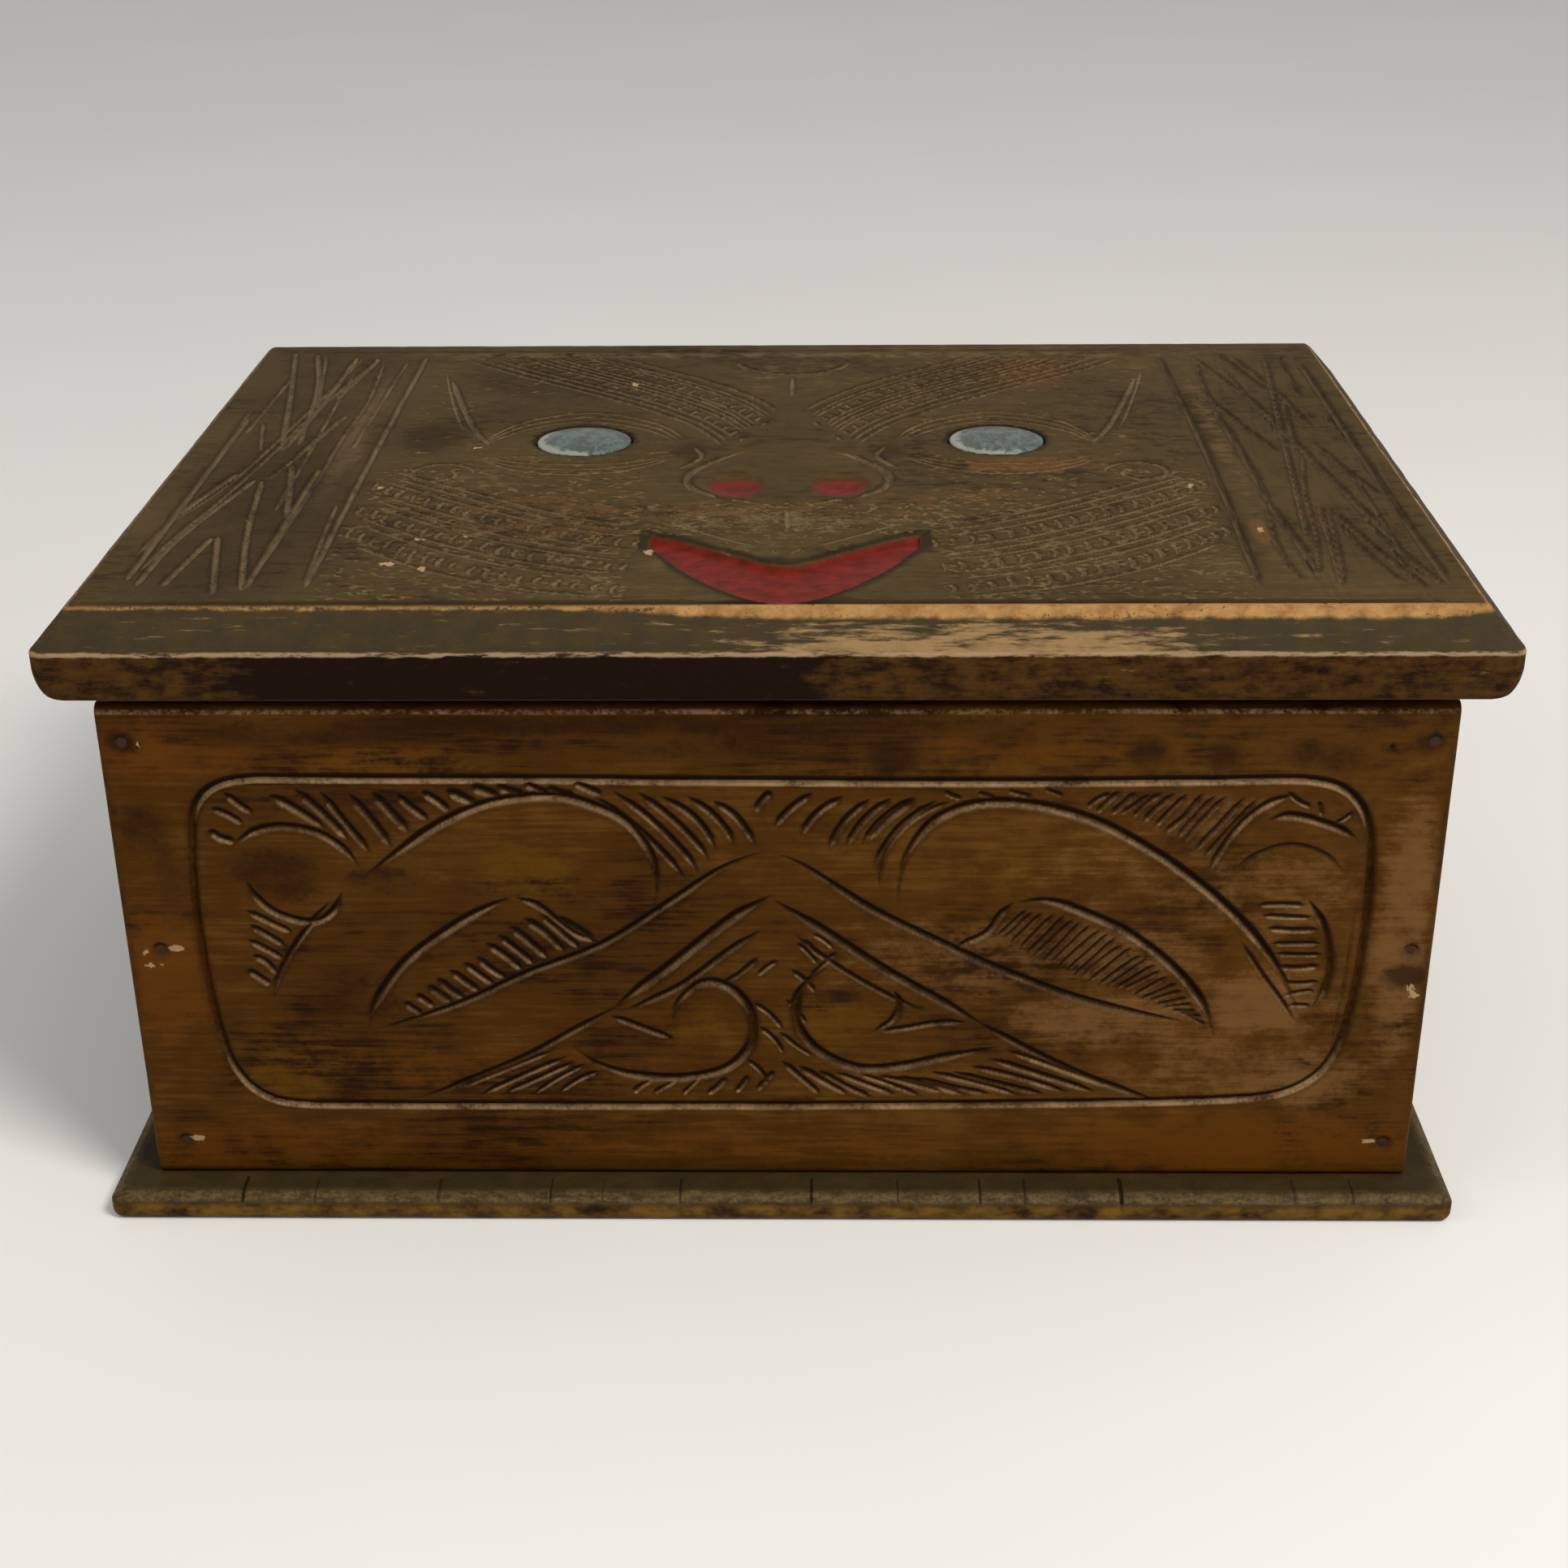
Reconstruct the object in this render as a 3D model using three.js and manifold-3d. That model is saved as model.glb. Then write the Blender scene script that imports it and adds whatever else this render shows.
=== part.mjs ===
// Carved wooden box with a hinged lid: a scrolled front board between a base and a bevelled lid
// that carries a mask with shell eyes. Millimetres, +Z up, the carved front towards -Y.
// The origin is on the ground, under the middle of the whole box, hinges included.

import * as THREE from 'three';
import { mergeVertices } from 'three/addons/utils/BufferGeometryUtils.js';
import Module from 'manifold-3d';

const wasm = await Module();
wasm.setup();

// Walls
const boxLength = 307;
const boxDepth = 226;
const wallHeight = 127.6;
const frontThickness = 10;
const backThickness = 10;
const sideThickness = 10;
const frontTopGap = 2.3;
const frontTopRounding = 2.2;
const frontEndEasing = 0.8;
const fitGap = 0.3;

// Base
const baseThickness = 7.1;
const baseOverhang = 10;
const baseChamferWidth = 2.4;
const baseChamferHeight = 1.8;
const baseUndersideRounding = 2.4;
const baseCornerRadius = 2.5;

// Lid
const lidThickness = 20.7;
const lidFrontOverhang = 3;
const lidEndOverhang = 12.25;
const lidEdgeHeight = 11.2;
const lidFrontBevel = 5.5;
const lidBackBevel = 5;
const lidEndBevel = 8.6;
const lidEndRoundWidth = 4.4;
const lidEndRoundHeight = 8;
const lidUndersideEasing = 0.8;
const lidArrisEasing = 0.4;
const lidCornerRadius = 4;
const plateauCornerRadius = 1.5;

// Shell eyes
const eyeRadius = 12.5;
const eyeSpacing = 110;
const eyeSetBack = 122;
const eyeThickness = 2.6;
const eyePocketDepth = 2;
const eyeClearance = 0.3;

// Hinges
const hingeEndInset = 57.5;
const hingeLength = 38;
const leafWidth = 9;
const leafThickness = 1.2;
const knuckleRadius = 2.5;
const knuckleGap = 0.3;
const hingePinRadius = 1;
const pinBoreRadius = 1.15;
const pinHeadRadius = 1.7;
const pinHeadThickness = 0.5;
const screwSpacing = 22;

// Screws and nails
const screwLength = 11;
const screwShankRadius = 1.1;
const screwHeadRadius = 2.1;
const screwHeadHeight = 1;
const screwRimHeight = 0.2;
const screwSlotWidth = 0.5;
const screwSlotDepth = 0.4;
const nailLength = 24;
const nailShankRadius = 0.8;
const nailHeadRadius = 1.5;
const nailHeadHeight = 0.8;
const nailTipLength = 3;
const nailSetDepth = 0.4;
const nailEndMargin = 9;
const holeClearance = 0.2;
const baseNailInset = 55;

// Carving
const grooveLift = 0.6;
const turnPerFacet = 17;
const notchWidth = 1.1;
const notchDepth = 0.9;
const mouthDepth = 1.6;
const maskOffset = 2;

// The sizes of board on which the points of the carving are measured
const carvedFront = { length: 307, height: 125.3 };
const carvedPlateau = { length: 314.3, depth: 218.5 };

// Heights and places that follow from the sizes above
const wallBottom = baseThickness + fitGap;
const wallTop = wallBottom + wallHeight;
const frontHeight = wallHeight - frontTopGap;
const lidBottom = wallTop + fitGap;
const lidTop = lidBottom + lidThickness;
const axisHeight = wallTop + fitGap / 2;
const axisDepth = boxDepth + fitGap + knuckleRadius;
const frontmost = -Math.max(baseOverhang, lidFrontOverhang);
const middleDepth = (frontmost + axisDepth + knuckleRadius) / 2;
const plateauFront = lidFrontBevel - lidFrontOverhang;
const plateauBack = boxDepth - lidBackBevel;

const finishes = {
  base: { color: 0x33312a, roughness: 0.6, metalness: 0 },
  front: { color: 0x5a3a1c, roughness: 0.45, metalness: 0 },
  walls: { color: 0x4a301a, roughness: 0.55, metalness: 0 },
  lid: { color: 0x463a28, roughness: 0.65, metalness: 0 },
  shell: { color: 0xa9c4c2, roughness: 0.25, metalness: 0 },
  brass: { color: 0x8a6b38, roughness: 0.45, metalness: 1 },
  iron: { color: 0x4a443c, roughness: 0.6, metalness: 1 },
};

const range = (count) => [...Array(count).keys()];

// A closed body through a row of rings. Each ring runs counterclockwise about the direction of travel.
function loft(rings) {
  const count = rings[0].length;
  const positions = rings.flat().flatMap((point) => point.toArray());
  const index = [];
  for (let ring = 0; ring + 1 < rings.length; ring += 1) {
    for (let corner = 0; corner < count; corner += 1) {
      const a = ring * count + corner;
      const b = ring * count + ((corner + 1) % count);
      index.push(a, b, b + count, a, b + count, a + count);
    }
  }
  const last = (rings.length - 1) * count;
  for (let corner = 1; corner + 1 < count; corner += 1) {
    index.push(0, corner + 1, corner);
    index.push(last, last + corner, last + corner + 1);
  }
  const geometry = new THREE.BufferGeometry();
  geometry.setAttribute('position', new THREE.Float32BufferAttribute(positions, 3));
  geometry.setIndex(index);
  return geometry;
}

function solidFrom(geometry) {
  const bare = geometry.clone();
  bare.deleteAttribute('normal');
  bare.deleteAttribute('uv');
  const merged = mergeVertices(bare);
  const mesh = new wasm.Mesh({
    numProp: 3,
    vertProperties: new Float32Array(merged.attributes.position.array),
    triVerts: new Uint32Array(merged.index.array),
  });
  return new wasm.Manifold(mesh);
}

function geometryFrom(solid) {
  const mesh = solid.getMesh();
  const geometry = new THREE.BufferGeometry();
  geometry.setAttribute('position', new THREE.BufferAttribute(mesh.vertProperties, 3));
  geometry.setIndex(new THREE.BufferAttribute(mesh.triVerts, 1));
  geometry.computeVertexNormals();
  return geometry;
}

// Cuts every geometry in the list out of the first one.
function carve(geometry, cutters) {
  const whole = solidFrom(geometry);
  return geometryFrom(cutters.reduce((rest, cutter) => rest.subtract(solidFrom(cutter)), whole));
}

function join(geometries) {
  const [first, ...others] = geometries.map(solidFrom);
  return geometryFrom(others.reduce((sum, solid) => sum.add(solid), first));
}

function block(left, right, front, back, bottom, top) {
  const geometry = new THREE.BoxGeometry(right - left, back - front, top - bottom);
  return geometry.translate((left + right) / 2, (front + back) / 2, (bottom + top) / 2);
}

function roundedRectangle({ left, right, front, back, radius, level }) {
  const cornerSteps = 3;
  const corners = [
    [right - radius, front + radius, -90],
    [right - radius, back - radius, 0],
    [left + radius, back - radius, 90],
    [left + radius, front + radius, 180],
  ];
  return corners.flatMap(([x, y, start]) => range(cornerSteps + 1).map((step) => {
    const angle = THREE.MathUtils.degToRad(start + (90 * step) / cornerSteps);
    return new THREE.Vector3(x + radius * Math.cos(angle), y + radius * Math.sin(angle), level);
  }));
}

// A cylinder along X between two ends.
function rodAlongX(radius, start, end, y, z, sides) {
  const geometry = new THREE.CylinderGeometry(radius, radius, end - start, sides);
  return geometry.rotateZ(Math.PI / 2).translate((start + end) / 2, y, z);
}

// Carved faces: a flat face of the box with its own two directions and its outward normal.
const frontFace = {
  origin: new THREE.Vector3(0, 0, wallBottom),
  across: new THREE.Vector3(1, 0, 0),
  up: new THREE.Vector3(0, 0, 1),
  scale: new THREE.Vector2(boxLength / carvedFront.length, frontHeight / carvedFront.height),
};
const lidFace = {
  origin: new THREE.Vector3(maskOffset, plateauFront, lidTop),
  across: new THREE.Vector3(1, 0, 0),
  up: new THREE.Vector3(0, 1, 0),
  scale: new THREE.Vector2(
    (boxLength + 2 * (lidEndOverhang - lidEndBevel)) / carvedPlateau.length,
    (plateauBack - plateauFront) / carvedPlateau.depth,
  ),
};

function onFace(face, point, height) {
  const normal = new THREE.Vector3().crossVectors(face.across, face.up);
  return face.origin.clone()
    .addScaledVector(face.across, point.x * face.scale.x)
    .addScaledVector(face.up, point.y * face.scale.y)
    .addScaledVector(normal, height);
}

// How many facets a route needs: at least four, and one more for each few degrees that it turns.
function facetsAlong(line) {
  const headings = range(25).map((item) => line.getTangentAt(item / 24));
  const turns = headings.slice(1).map((heading, item) => heading.angleTo(headings[item]));
  const degrees = THREE.MathUtils.radToDeg(turns.reduce((sum, turn) => sum + turn, 0));
  return Math.max(4, Math.ceil(degrees / turnPerFacet));
}

// One gouge cut: a V-shaped cutter along a route, rising out of the wood at both ends.
function grooveCutter(face, { route, width, depth, steps }) {
  const line = splineThrough(route);
  const count = steps ?? facetsAlong(line);
  const rings = range(count + 1).map((step) => {
    const along = step / count;
    const centre = line.getPointAt(along);
    const heading = line.getTangentAt(along);
    const side = new THREE.Vector2(-heading.y, heading.x);
    const fullness = Math.min(1, 2 * Math.sin(Math.PI * along));
    const bottom = grooveLift * 0.5 - (depth + grooveLift * 0.5) * fullness;
    const halfWidth = (width / 2) * ((grooveLift - bottom) / depth);
    return [
      onFace(face, centre.clone().addScaledVector(side, halfWidth), grooveLift),
      onFace(face, centre.clone().addScaledVector(side, -halfWidth), grooveLift),
      onFace(face, centre, bottom),
    ];
  });
  return loft(rings);
}

// The border's groove: the same cutter carried round a rounded rectangle and back into itself.
function borderCutter(face, { left, right, bottom, top, radius, width, depth }) {
  const cornerSteps = 5;
  const ringOf = (outset, height) => {
    const corners = [
      [right - radius, bottom + radius, -90],
      [right - radius, top - radius, 0],
      [left + radius, top - radius, 90],
      [left + radius, bottom + radius, 180],
    ];
    return corners.flatMap(([x, y, start]) => range(cornerSteps + 1).map((step) => {
      const angle = THREE.MathUtils.degToRad(start + (90 * step) / cornerSteps);
      const reach = radius + outset;
      return onFace(face, new THREE.Vector2(x + reach * Math.cos(angle), y + reach * Math.sin(angle)), height);
    }));
  };
  const halfWidth = (width / 2) * ((grooveLift + depth) / depth);
  const lines = [ringOf(halfWidth, grooveLift), ringOf(-halfWidth, grooveLift), ringOf(0, -depth)];
  const count = lines[0].length;
  const index = [];
  for (const line of range(3)) {
    for (const step of range(count)) {
      const a = line * count + step;
      const b = ((line + 1) % 3) * count + step;
      const nextA = line * count + ((step + 1) % count);
      const nextB = ((line + 1) % 3) * count + ((step + 1) % count);
      index.push(a, nextB, b, a, nextA, nextB);
    }
  }
  const geometry = new THREE.BufferGeometry();
  const positions = lines.flat().flatMap((point) => point.toArray());
  geometry.setAttribute('position', new THREE.Float32BufferAttribute(positions, 3));
  geometry.setIndex(index);
  return geometry;
}

const cut = (route, width = 2.4, depth = 1.2) => ({ route, width, depth });

function splineThrough(points) {
  return new THREE.SplineCurve(points.map(([x, y]) => new THREE.Vector2(x, y)));
}

// A row of short cuts whose ends step along two guide lines.
function flutes(starts, ends, count, width = 1.8, depth = 0.9) {
  const from = splineThrough(starts);
  const to = splineThrough(ends);
  return range(count).map((item) => {
    const share = count > 1 ? item / (count - 1) : 0;
    const route = [from.getPointAt(share).toArray(), to.getPointAt(share).toArray()];
    return { route, width, depth, steps: 2 };
  });
}

// The line that lies a share of the way from one guide line to another.
function between(first, second, share, points = 6) {
  const from = splineThrough(first);
  const to = splineThrough(second);
  return range(points).map((item) => {
    const along = item / (points - 1);
    return from.getPointAt(along).lerp(to.getPointAt(along), share).toArray();
  });
}

const mirrored = (cuts) => cuts.map((one) => ({ ...one, route: one.route.map(([x, y]) => [-x, y]) }));

// The front board's carving, measured from the middle of its lower edge.
function frontCarving() {
  const arms = [
    cut([[-1, 89], [-24.3, 75.6], [-47.9, 61.3], [-71, 50], [-98, 40]], 3.2, 1.6),
    cut([[-1, 89], [20, 75], [41.4, 63], [68, 50.6], [100, 42.4]], 3.2, 1.6),
    cut([[-1, 77], [-21.4, 61.3], [-39.6, 46.3], [-61.6, 32.7], [-87, 21.5]], 3.4, 1.7),
    cut([[-1, 77], [19.3, 62], [39.3, 48.4], [62.3, 34], [91, 21.5]], 3.4, 1.7),
    cut([[-3, 67.5], [-16.4, 57.7], [-36, 46]]),
    cut([[-5, 60], [-8.6, 56.3], [-13, 53.4]]),
  ];
  const leftLobe = [
    cut([[-97.3, 80.6], [-81.6, 92.7], [-64.4, 101.3], [-50.7, 102.7], [-37, 98], [-28.2, 87.7], [-29, 72]], 3, 1.5),
    cut([[-98.4, 40], [-92.3, 52.7], [-77.3, 67.7], [-61.6, 76.6]], 3, 1.5),
    cut([[-60.5, 76.8], [-51.6, 70.6], [-42, 65]]),
    cut([[-125, 91], [-113.7, 95], [-103, 92], [-96.6, 84.5]], 2.6, 1.3),
    cut([[-123.7, 82], [-118, 72.7], [-108.7, 70], [-100.9, 78.8]], 2.6, 1.3),
    cut([[-103.7, 76.3], [-113, 63.4], [-120, 49]], 2.6, 1.3),
    ...flutes([[-88, 52], [-69.4, 62], [-56.6, 75]], [[-82, 47], [-62.3, 56], [-48, 67]], 9),
    ...flutes([[-123.5, 72], [-125, 58]], [[-113.7, 65.6], [-120, 54]], 4),
  ];
  const rightLobe = [
    cut([[28.2, 71], [29.3, 85.6], [38, 98], [54.4, 101], [71.6, 97], [91, 85.6], [109.4, 69], [118.7, 56.3],
      [124.4, 42.7]], 3, 1.5),
    cut([[23.9, 78.4], [26, 89], [40.7, 101.5]], 2, 1),
    cut([[111, 62], [118.7, 50.6], [123, 45]], 2, 1),
    cut([[55, 75.6], [69.4, 73.4], [88.7, 62], [98, 52], [104, 38.4]], 3, 1.5),
    cut([[54.8, 74.6], [50, 68.4], [42, 63.5]]),
    cut([[118, 103.4], [107, 96.3], [99.4, 82]], 2.6, 1.3),
    cut([[113, 97], [121, 97.4], [133, 92.7]], 2.6, 1.3),
    cut([[123.4, 76.3], [129.8, 59], [126.6, 46.3]], 2.6, 1.3),
    ...flutes([[57, 73.5], [83, 64.5], [102, 43]], [[51.5, 65.5], [72, 54], [96, 44.5]], 15),
    ...flutes([[113, 74], [117, 61], [120, 49]], [[123.5, 75], [128.5, 62], [126.5, 48.5]], 7),
  ];
  const topRow = [
    ...flutes([[-130, 94], [-129, 100], [-125, 104]], [[-126, 92.5], [-122, 96], [-120, 99]], 3),
    ...flutes([[-114, 104], [-80, 104], [-47, 106]], [[-99, 87], [-74, 99.5], [-41, 103.5]], 10),
    cut([[-38.6, 104], [-28.6, 96.3], [-19.5, 83]], 2, 1),
    cut([[-34, 105], [-24, 94], [-17, 83]], 2, 1),
    cut([[-25, 101.5], [-16.4, 94], [-13.5, 87.5]], 2, 1),
    cut([[-12.9, 100.5], [-7.9, 93.4], [-5.5, 90.5]]),
    cut([[3.6, 102], [-2, 95.6]], 2, 1),
    cut([[10, 100.6], [5.7, 96], [3, 90.6]], 2, 1),
    cut([[17, 101], [12.9, 96], [9.3, 89]], 2, 1),
    cut([[25.7, 101], [20.7, 95.6], [15.5, 87]]),
    ...flutes([[108, 103], [93, 103.4], [78, 103]], [[97, 87.7], [88, 96], [73, 99]], 8),
  ];
  const scrolls = [
    cut([[-49.3, 35.6], [-33.6, 27.7], [-14.3, 29], [-6, 38], [-8.2, 49], [-16.4, 53.4], [-23.6, 47.7],
      [-24.3, 39.5]], 3, 1.5),
    cut([[-39.6, 44.5], [-32, 41.2], [-25.5, 38.6]]),
    cut([[13.6, 58.4], [4.6, 48], [8, 36.5], [25.7, 30], [40, 33], [53.6, 36.3]], 3, 1.5),
    cut([[27.9, 51.3], [28, 45], [23.6, 40.6]]),
    cut([[24.5, 40.4], [35, 42.3], [45, 43]]),
  ];
  const footRow = [
    ...flutes([[1.4, 30], [30, 27.2], [53, 34]], [[10, 21.8], [44, 22.4], [76, 24]], 8),
    ...flutes([[-50, 35], [-44, 30]], [[-73, 22.4], [-56, 22.4]], 3),
    ...flutes([[-13, 28], [-1, 28]], [[-19, 23], [-4, 23.5]], 3),
    ...flutes([[6, 65.3], [1, 40]], [[12, 60.8], [8, 34]], 2),
  ];
  return [...arms, ...leftLobe, ...rightLobe, ...topRow, ...scrolls, ...footRow];
}

const frontBorder = { left: -135, right: 136, bottom: 19.5, top: 106.8, radius: 14, width: 3, depth: 1.5 };

// One half of the lid's mask, measured from the middle of the front edge of the flat top.
const browTop = [[56, 208], [40, 193.5], [24, 178.5], [11, 162.5], [2.5, 146.5]];
const browFoot = [[100, 206], [83, 188.5], [62, 171], [42, 153], [27, 136], [16, 114]];
const cheekTop = [[33, 53], [52, 60], [78, 78], [104, 98]];
const cheekFoot = [[38, 5], [62, 12], [85, 25], [104, 42]];

// A band of lines that lie at shares of the way from one guide line to another, with rows of notches.
function notchedBand(first, second, { lines, rows, count, width, depth }) {
  const rowHalf = 0.062;
  return [
    ...lines.map((share) => cut(between(first, second, share), width, depth)),
    ...rows.flatMap((share) => flutes(
      between(first, second, share - rowHalf),
      between(first, second, share + rowHalf),
      count,
      1.6,
      0.8,
    )),
  ];
}

function maskHalf() {
  const brow = { lines: [0, 0.13, 0.2, 0.4, 0.5, 0.62, 0.8, 0.9, 1], rows: [0.3, 0.71], count: 12 };
  const cheek = { lines: [0, 0.08, 0.16, 0.34, 0.42, 0.5, 0.68, 0.76, 1], rows: [0.25, 0.59, 0.88], count: 9 };
  const spiral = range(13).map((step) => {
    const angle = THREE.MathUtils.degToRad(200 - 42 * step);
    const reach = 9.5 - 0.55 * step;
    return [90 + reach * Math.cos(angle), 94 + reach * Math.sin(angle)];
  });
  return [
    ...notchedBand(browTop, browFoot, { ...brow, width: 2, depth: 1 }),
    ...notchedBand(cheekTop, cheekFoot, { ...cheek, width: 1.8, depth: 0.9 }),
    cut([[100, 186], [93, 158], [86, 133], [78, 114]], 2.4, 1.2),
    cut([[27, 116], [38, 131], [55, 139.5], [72, 132], [85, 113]], 2, 1),
    cut([[26, 116], [37, 134], [55, 143.5], [73, 135], [85, 113]], 1.8, 0.8),
    cut([[27, 113], [40, 104], [56, 101.5], [72, 104], [85, 112]], 2, 1),
    cut([[26, 113], [40, 101], [56, 97.5], [72, 101], [85, 112]], 1.8, 0.8),
    cut([[8, 116], [18, 106], [25.5, 92], [23, 80], [12, 72.5], [1, 67.5]], 3, 1.5),
    cut(spiral, 2.2, 1.1),
  ];
}

// The long straight knife cuts that cross each other at the two ends of the lid.
function endBands() {
  const left = [
    [[-110, 211], [-108, 8]],
    [[-121.5, 100], [-121.5, 10]],
    [[-150, 147], [-150, 14]],
    [[-124, 144.5], [-129.5, 109.5]],
    [[-142, 95.5], [-149.5, 62.5]],
    [[-136, 91.5], [-147, 12]],
    [[-134.5, 90.5], [-122, 9]],
    [[-129.5, 103], [-122, 59.5]],
    [[-136, 47.5], [-128, 7.5]],
    [[-137, 46.5], [-141, 12.5]],
    [[-130.8, 208], [-134.5, 112.5]],
    [[-124, 206], [-129, 162.5]],
    [[-151, 214], [-134.5, 113]],
    [[-144, 212], [-131, 118]],
  ];
  const right = [
    [[108.5, 208], [107, 8]],
    [[149, 200], [149.6, 10]],
    [[118, 153], [128, 109.5]],
    [[118, 206], [130, 150]],
    [[130, 150], [144, 37.5]],
    [[137, 155.5], [133, 113]],
    [[139, 110.5], [147, 75.5]],
    [[119, 66.5], [122, 20]],
    [[133, 63], [144, 10]],
    [[130.5, 67.5], [125.5, 12]],
    [[126, 208], [134, 168]],
    [[141, 46], [148, 12]],
    [[117, 150], [119, 70]],
    [[140, 206], [123, 40]],
  ];
  return [...left, ...right].map((route) => ({ route, width: 1.9, depth: 0.9, steps: 2 }));
}

const foreheadArc = range(7).map((step) => {
  const angle = THREE.MathUtils.degToRad(180 + 30 * step);
  return [17 * Math.cos(angle), 203 + 17 * Math.sin(angle)];
});

function lidCarving() {
  const half = maskHalf();
  const middle = [cut(foreheadArc, 2.6, 1.3), cut([[0, 184], [0, 163]]), cut([[0, 66], [0, 50]], 2, 0.8)];
  return [...half, ...mirrored(half), ...middle, ...endBands()];
}

// The mouth is a crescent sunk to a flat floor, with blunt ends.
const mouthLower = [[0, 1.6], [6, 3.4], [12, 8.3], [18, 15], [24, 23.4], [31.5, 38]];
const mouthUpper = [[32, 46.5], [24, 42], [12, 33], [4, 27], [0, 26]];

function mouthCutter() {
  const right = [...mouthLower, ...mouthUpper];
  const left = right.slice(1, -1).reverse().map(([x, y]) => [-x, y]);
  const outline = [...right, ...left].map(([x, y]) => {
    const point = onFace(lidFace, new THREE.Vector2(x, y), 0);
    return new THREE.Vector2(point.x, point.y);
  });
  const depth = mouthDepth + grooveLift;
  const cutter = new THREE.ExtrudeGeometry(new THREE.Shape(outline), { depth, bevelEnabled: false });
  return cutter.translate(0, 0, lidTop - mouthDepth);
}

// A nostril is a dished oval.
const nostril = { x: 13.2, y: 84, length: 7.6, width: 10.4, height: 2.9, lift: 1.2 };

function nostrilCutter(side) {
  const centre = onFace(lidFace, new THREE.Vector2(nostril.x * side, nostril.y), nostril.lift);
  const oval = new THREE.SphereGeometry(1, 12, 8).rotateX(Math.PI / 2);
  return oval.scale(nostril.length, nostril.width, nostril.height).translate(centre.x, centre.y, centre.z);
}

// The eyes keep their spacing on a lid of any length, and their share of its depth.
function eyeCentre(side) {
  return onFace(lidFace, new THREE.Vector2((side * eyeSpacing) / 2 / lidFace.scale.x, eyeSetBack), 0);
}

function eyePocket(side) {
  const centre = eyeCentre(side);
  const height = eyePocketDepth + grooveLift;
  const pocket = new THREE.CylinderGeometry(eyeRadius + eyeClearance, eyeRadius + eyeClearance, height, 24);
  return pocket.rotateX(Math.PI / 2).translate(centre.x, centre.y, lidTop - eyePocketDepth + height / 2);
}

// A low dome with an eased rim, turned about its own axis.
function eyeInlay() {
  const profile = [
    [0, 0],
    [eyeRadius, 0],
    [eyeRadius, eyeThickness * 0.62],
    [eyeRadius * 0.93, eyeThickness * 0.8],
    [eyeRadius * 0.6, eyeThickness * 0.94],
    [0, eyeThickness],
  ];
  const turned = new THREE.LatheGeometry(profile.map(([r, h]) => new THREE.Vector2(r, h)), 24);
  return turned.rotateX(Math.PI / 2);
}

// Nails and screws are turned about Y with the head's top at 0 and the point at -length.
function turned(profile, sides = 8) {
  return new THREE.LatheGeometry(profile.map(([r, h]) => new THREE.Vector2(r, h)), sides);
}

function nail() {
  return turned([
    [0, -nailLength],
    [nailShankRadius, -nailLength + nailTipLength],
    [nailShankRadius, -nailHeadHeight],
    [nailHeadRadius, -nailHeadHeight / 2],
    [nailHeadRadius, 0],
    [0, 0],
  ]);
}

function nailHole() {
  return turned([
    [0, -nailLength - holeClearance],
    [nailShankRadius + holeClearance, -nailLength + nailTipLength - holeClearance],
    [nailShankRadius + holeClearance, -nailHeadHeight - holeClearance],
    [nailHeadRadius + holeClearance, -nailHeadHeight / 2 - holeClearance],
    [nailHeadRadius + holeClearance, nailSetDepth + 1],
    [0, nailSetDepth + 1],
  ]);
}

function screw() {
  const body = turned([
    [0, -screwLength],
    [screwShankRadius, -screwLength + 2 * screwShankRadius],
    [screwShankRadius, -screwHeadHeight],
    [screwHeadRadius, -screwRimHeight],
    [screwHeadRadius, 0],
    [0, 0],
  ]);
  const half = screwSlotWidth / 2;
  return carve(body, [block(-half, half, -screwSlotDepth, 1, -screwHeadRadius - 1, screwHeadRadius + 1)]);
}

function screwHole() {
  return turned([
    [0, -screwLength - holeClearance],
    [screwShankRadius + holeClearance, -screwLength + 2 * screwShankRadius - holeClearance],
    [screwShankRadius + holeClearance, -screwHeadHeight - holeClearance],
    [screwHeadRadius + holeClearance, -screwRimHeight - holeClearance],
    [screwHeadRadius + holeClearance, 1],
    [0, 1],
  ]);
}

// Where each fastener's head lies, and the way it faces.
const outwards = {
  front: new THREE.Vector3(0, -1, 0),
  back: new THREE.Vector3(0, 1, 0),
  down: new THREE.Vector3(0, 0, -1),
  up: new THREE.Vector3(0, 0, 1),
};

function fastenerMatrix({ place, facing }) {
  const turn = new THREE.Quaternion().setFromUnitVectors(outwards.back, outwards[facing]);
  return new THREE.Matrix4().compose(place, turn, new THREE.Vector3(1, 1, 1));
}

const holesFor = (hole, places) => places.map((one) => hole().applyMatrix4(fastenerMatrix(one)));

// The share of the side board's thickness at which each nail went in, from its outer face.
const frontNailShares = { left: [0.78, 0.8, 0.54], right: [0.62, 0.5, 0.52] };

function wallNails(y, facing, height, shares) {
  const levels = [nailEndMargin, height / 2, height - nailEndMargin];
  return ['left', 'right'].flatMap((side) => levels.map((level, item) => {
    const inset = sideThickness * shares[side][item];
    const x = (side === 'left' ? -1 : 1) * (boxLength / 2 - inset);
    return { place: new THREE.Vector3(x, y, wallBottom + level), facing };
  }));
}

const frontNails = wallNails(nailSetDepth, 'front', frontHeight, frontNailShares);
const backShares = { left: [0.5, 0.5, 0.5], right: [0.5, 0.5, 0.5] };
const backNails = wallNails(boxDepth - nailSetDepth, 'back', wallHeight, backShares);
const baseNails = [-1, 1].flatMap((side) => [
  [side * (boxLength / 2 - baseNailInset), frontThickness / 2],
  [side * (boxLength / 2 - baseNailInset), boxDepth - backThickness / 2],
  [side * (boxLength / 2 - sideThickness / 2), baseNailInset],
  [side * (boxLength / 2 - sideThickness / 2), boxDepth - baseNailInset],
]).map(([x, y]) => ({ place: new THREE.Vector3(x, y, nailSetDepth), facing: 'down' }));

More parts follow.
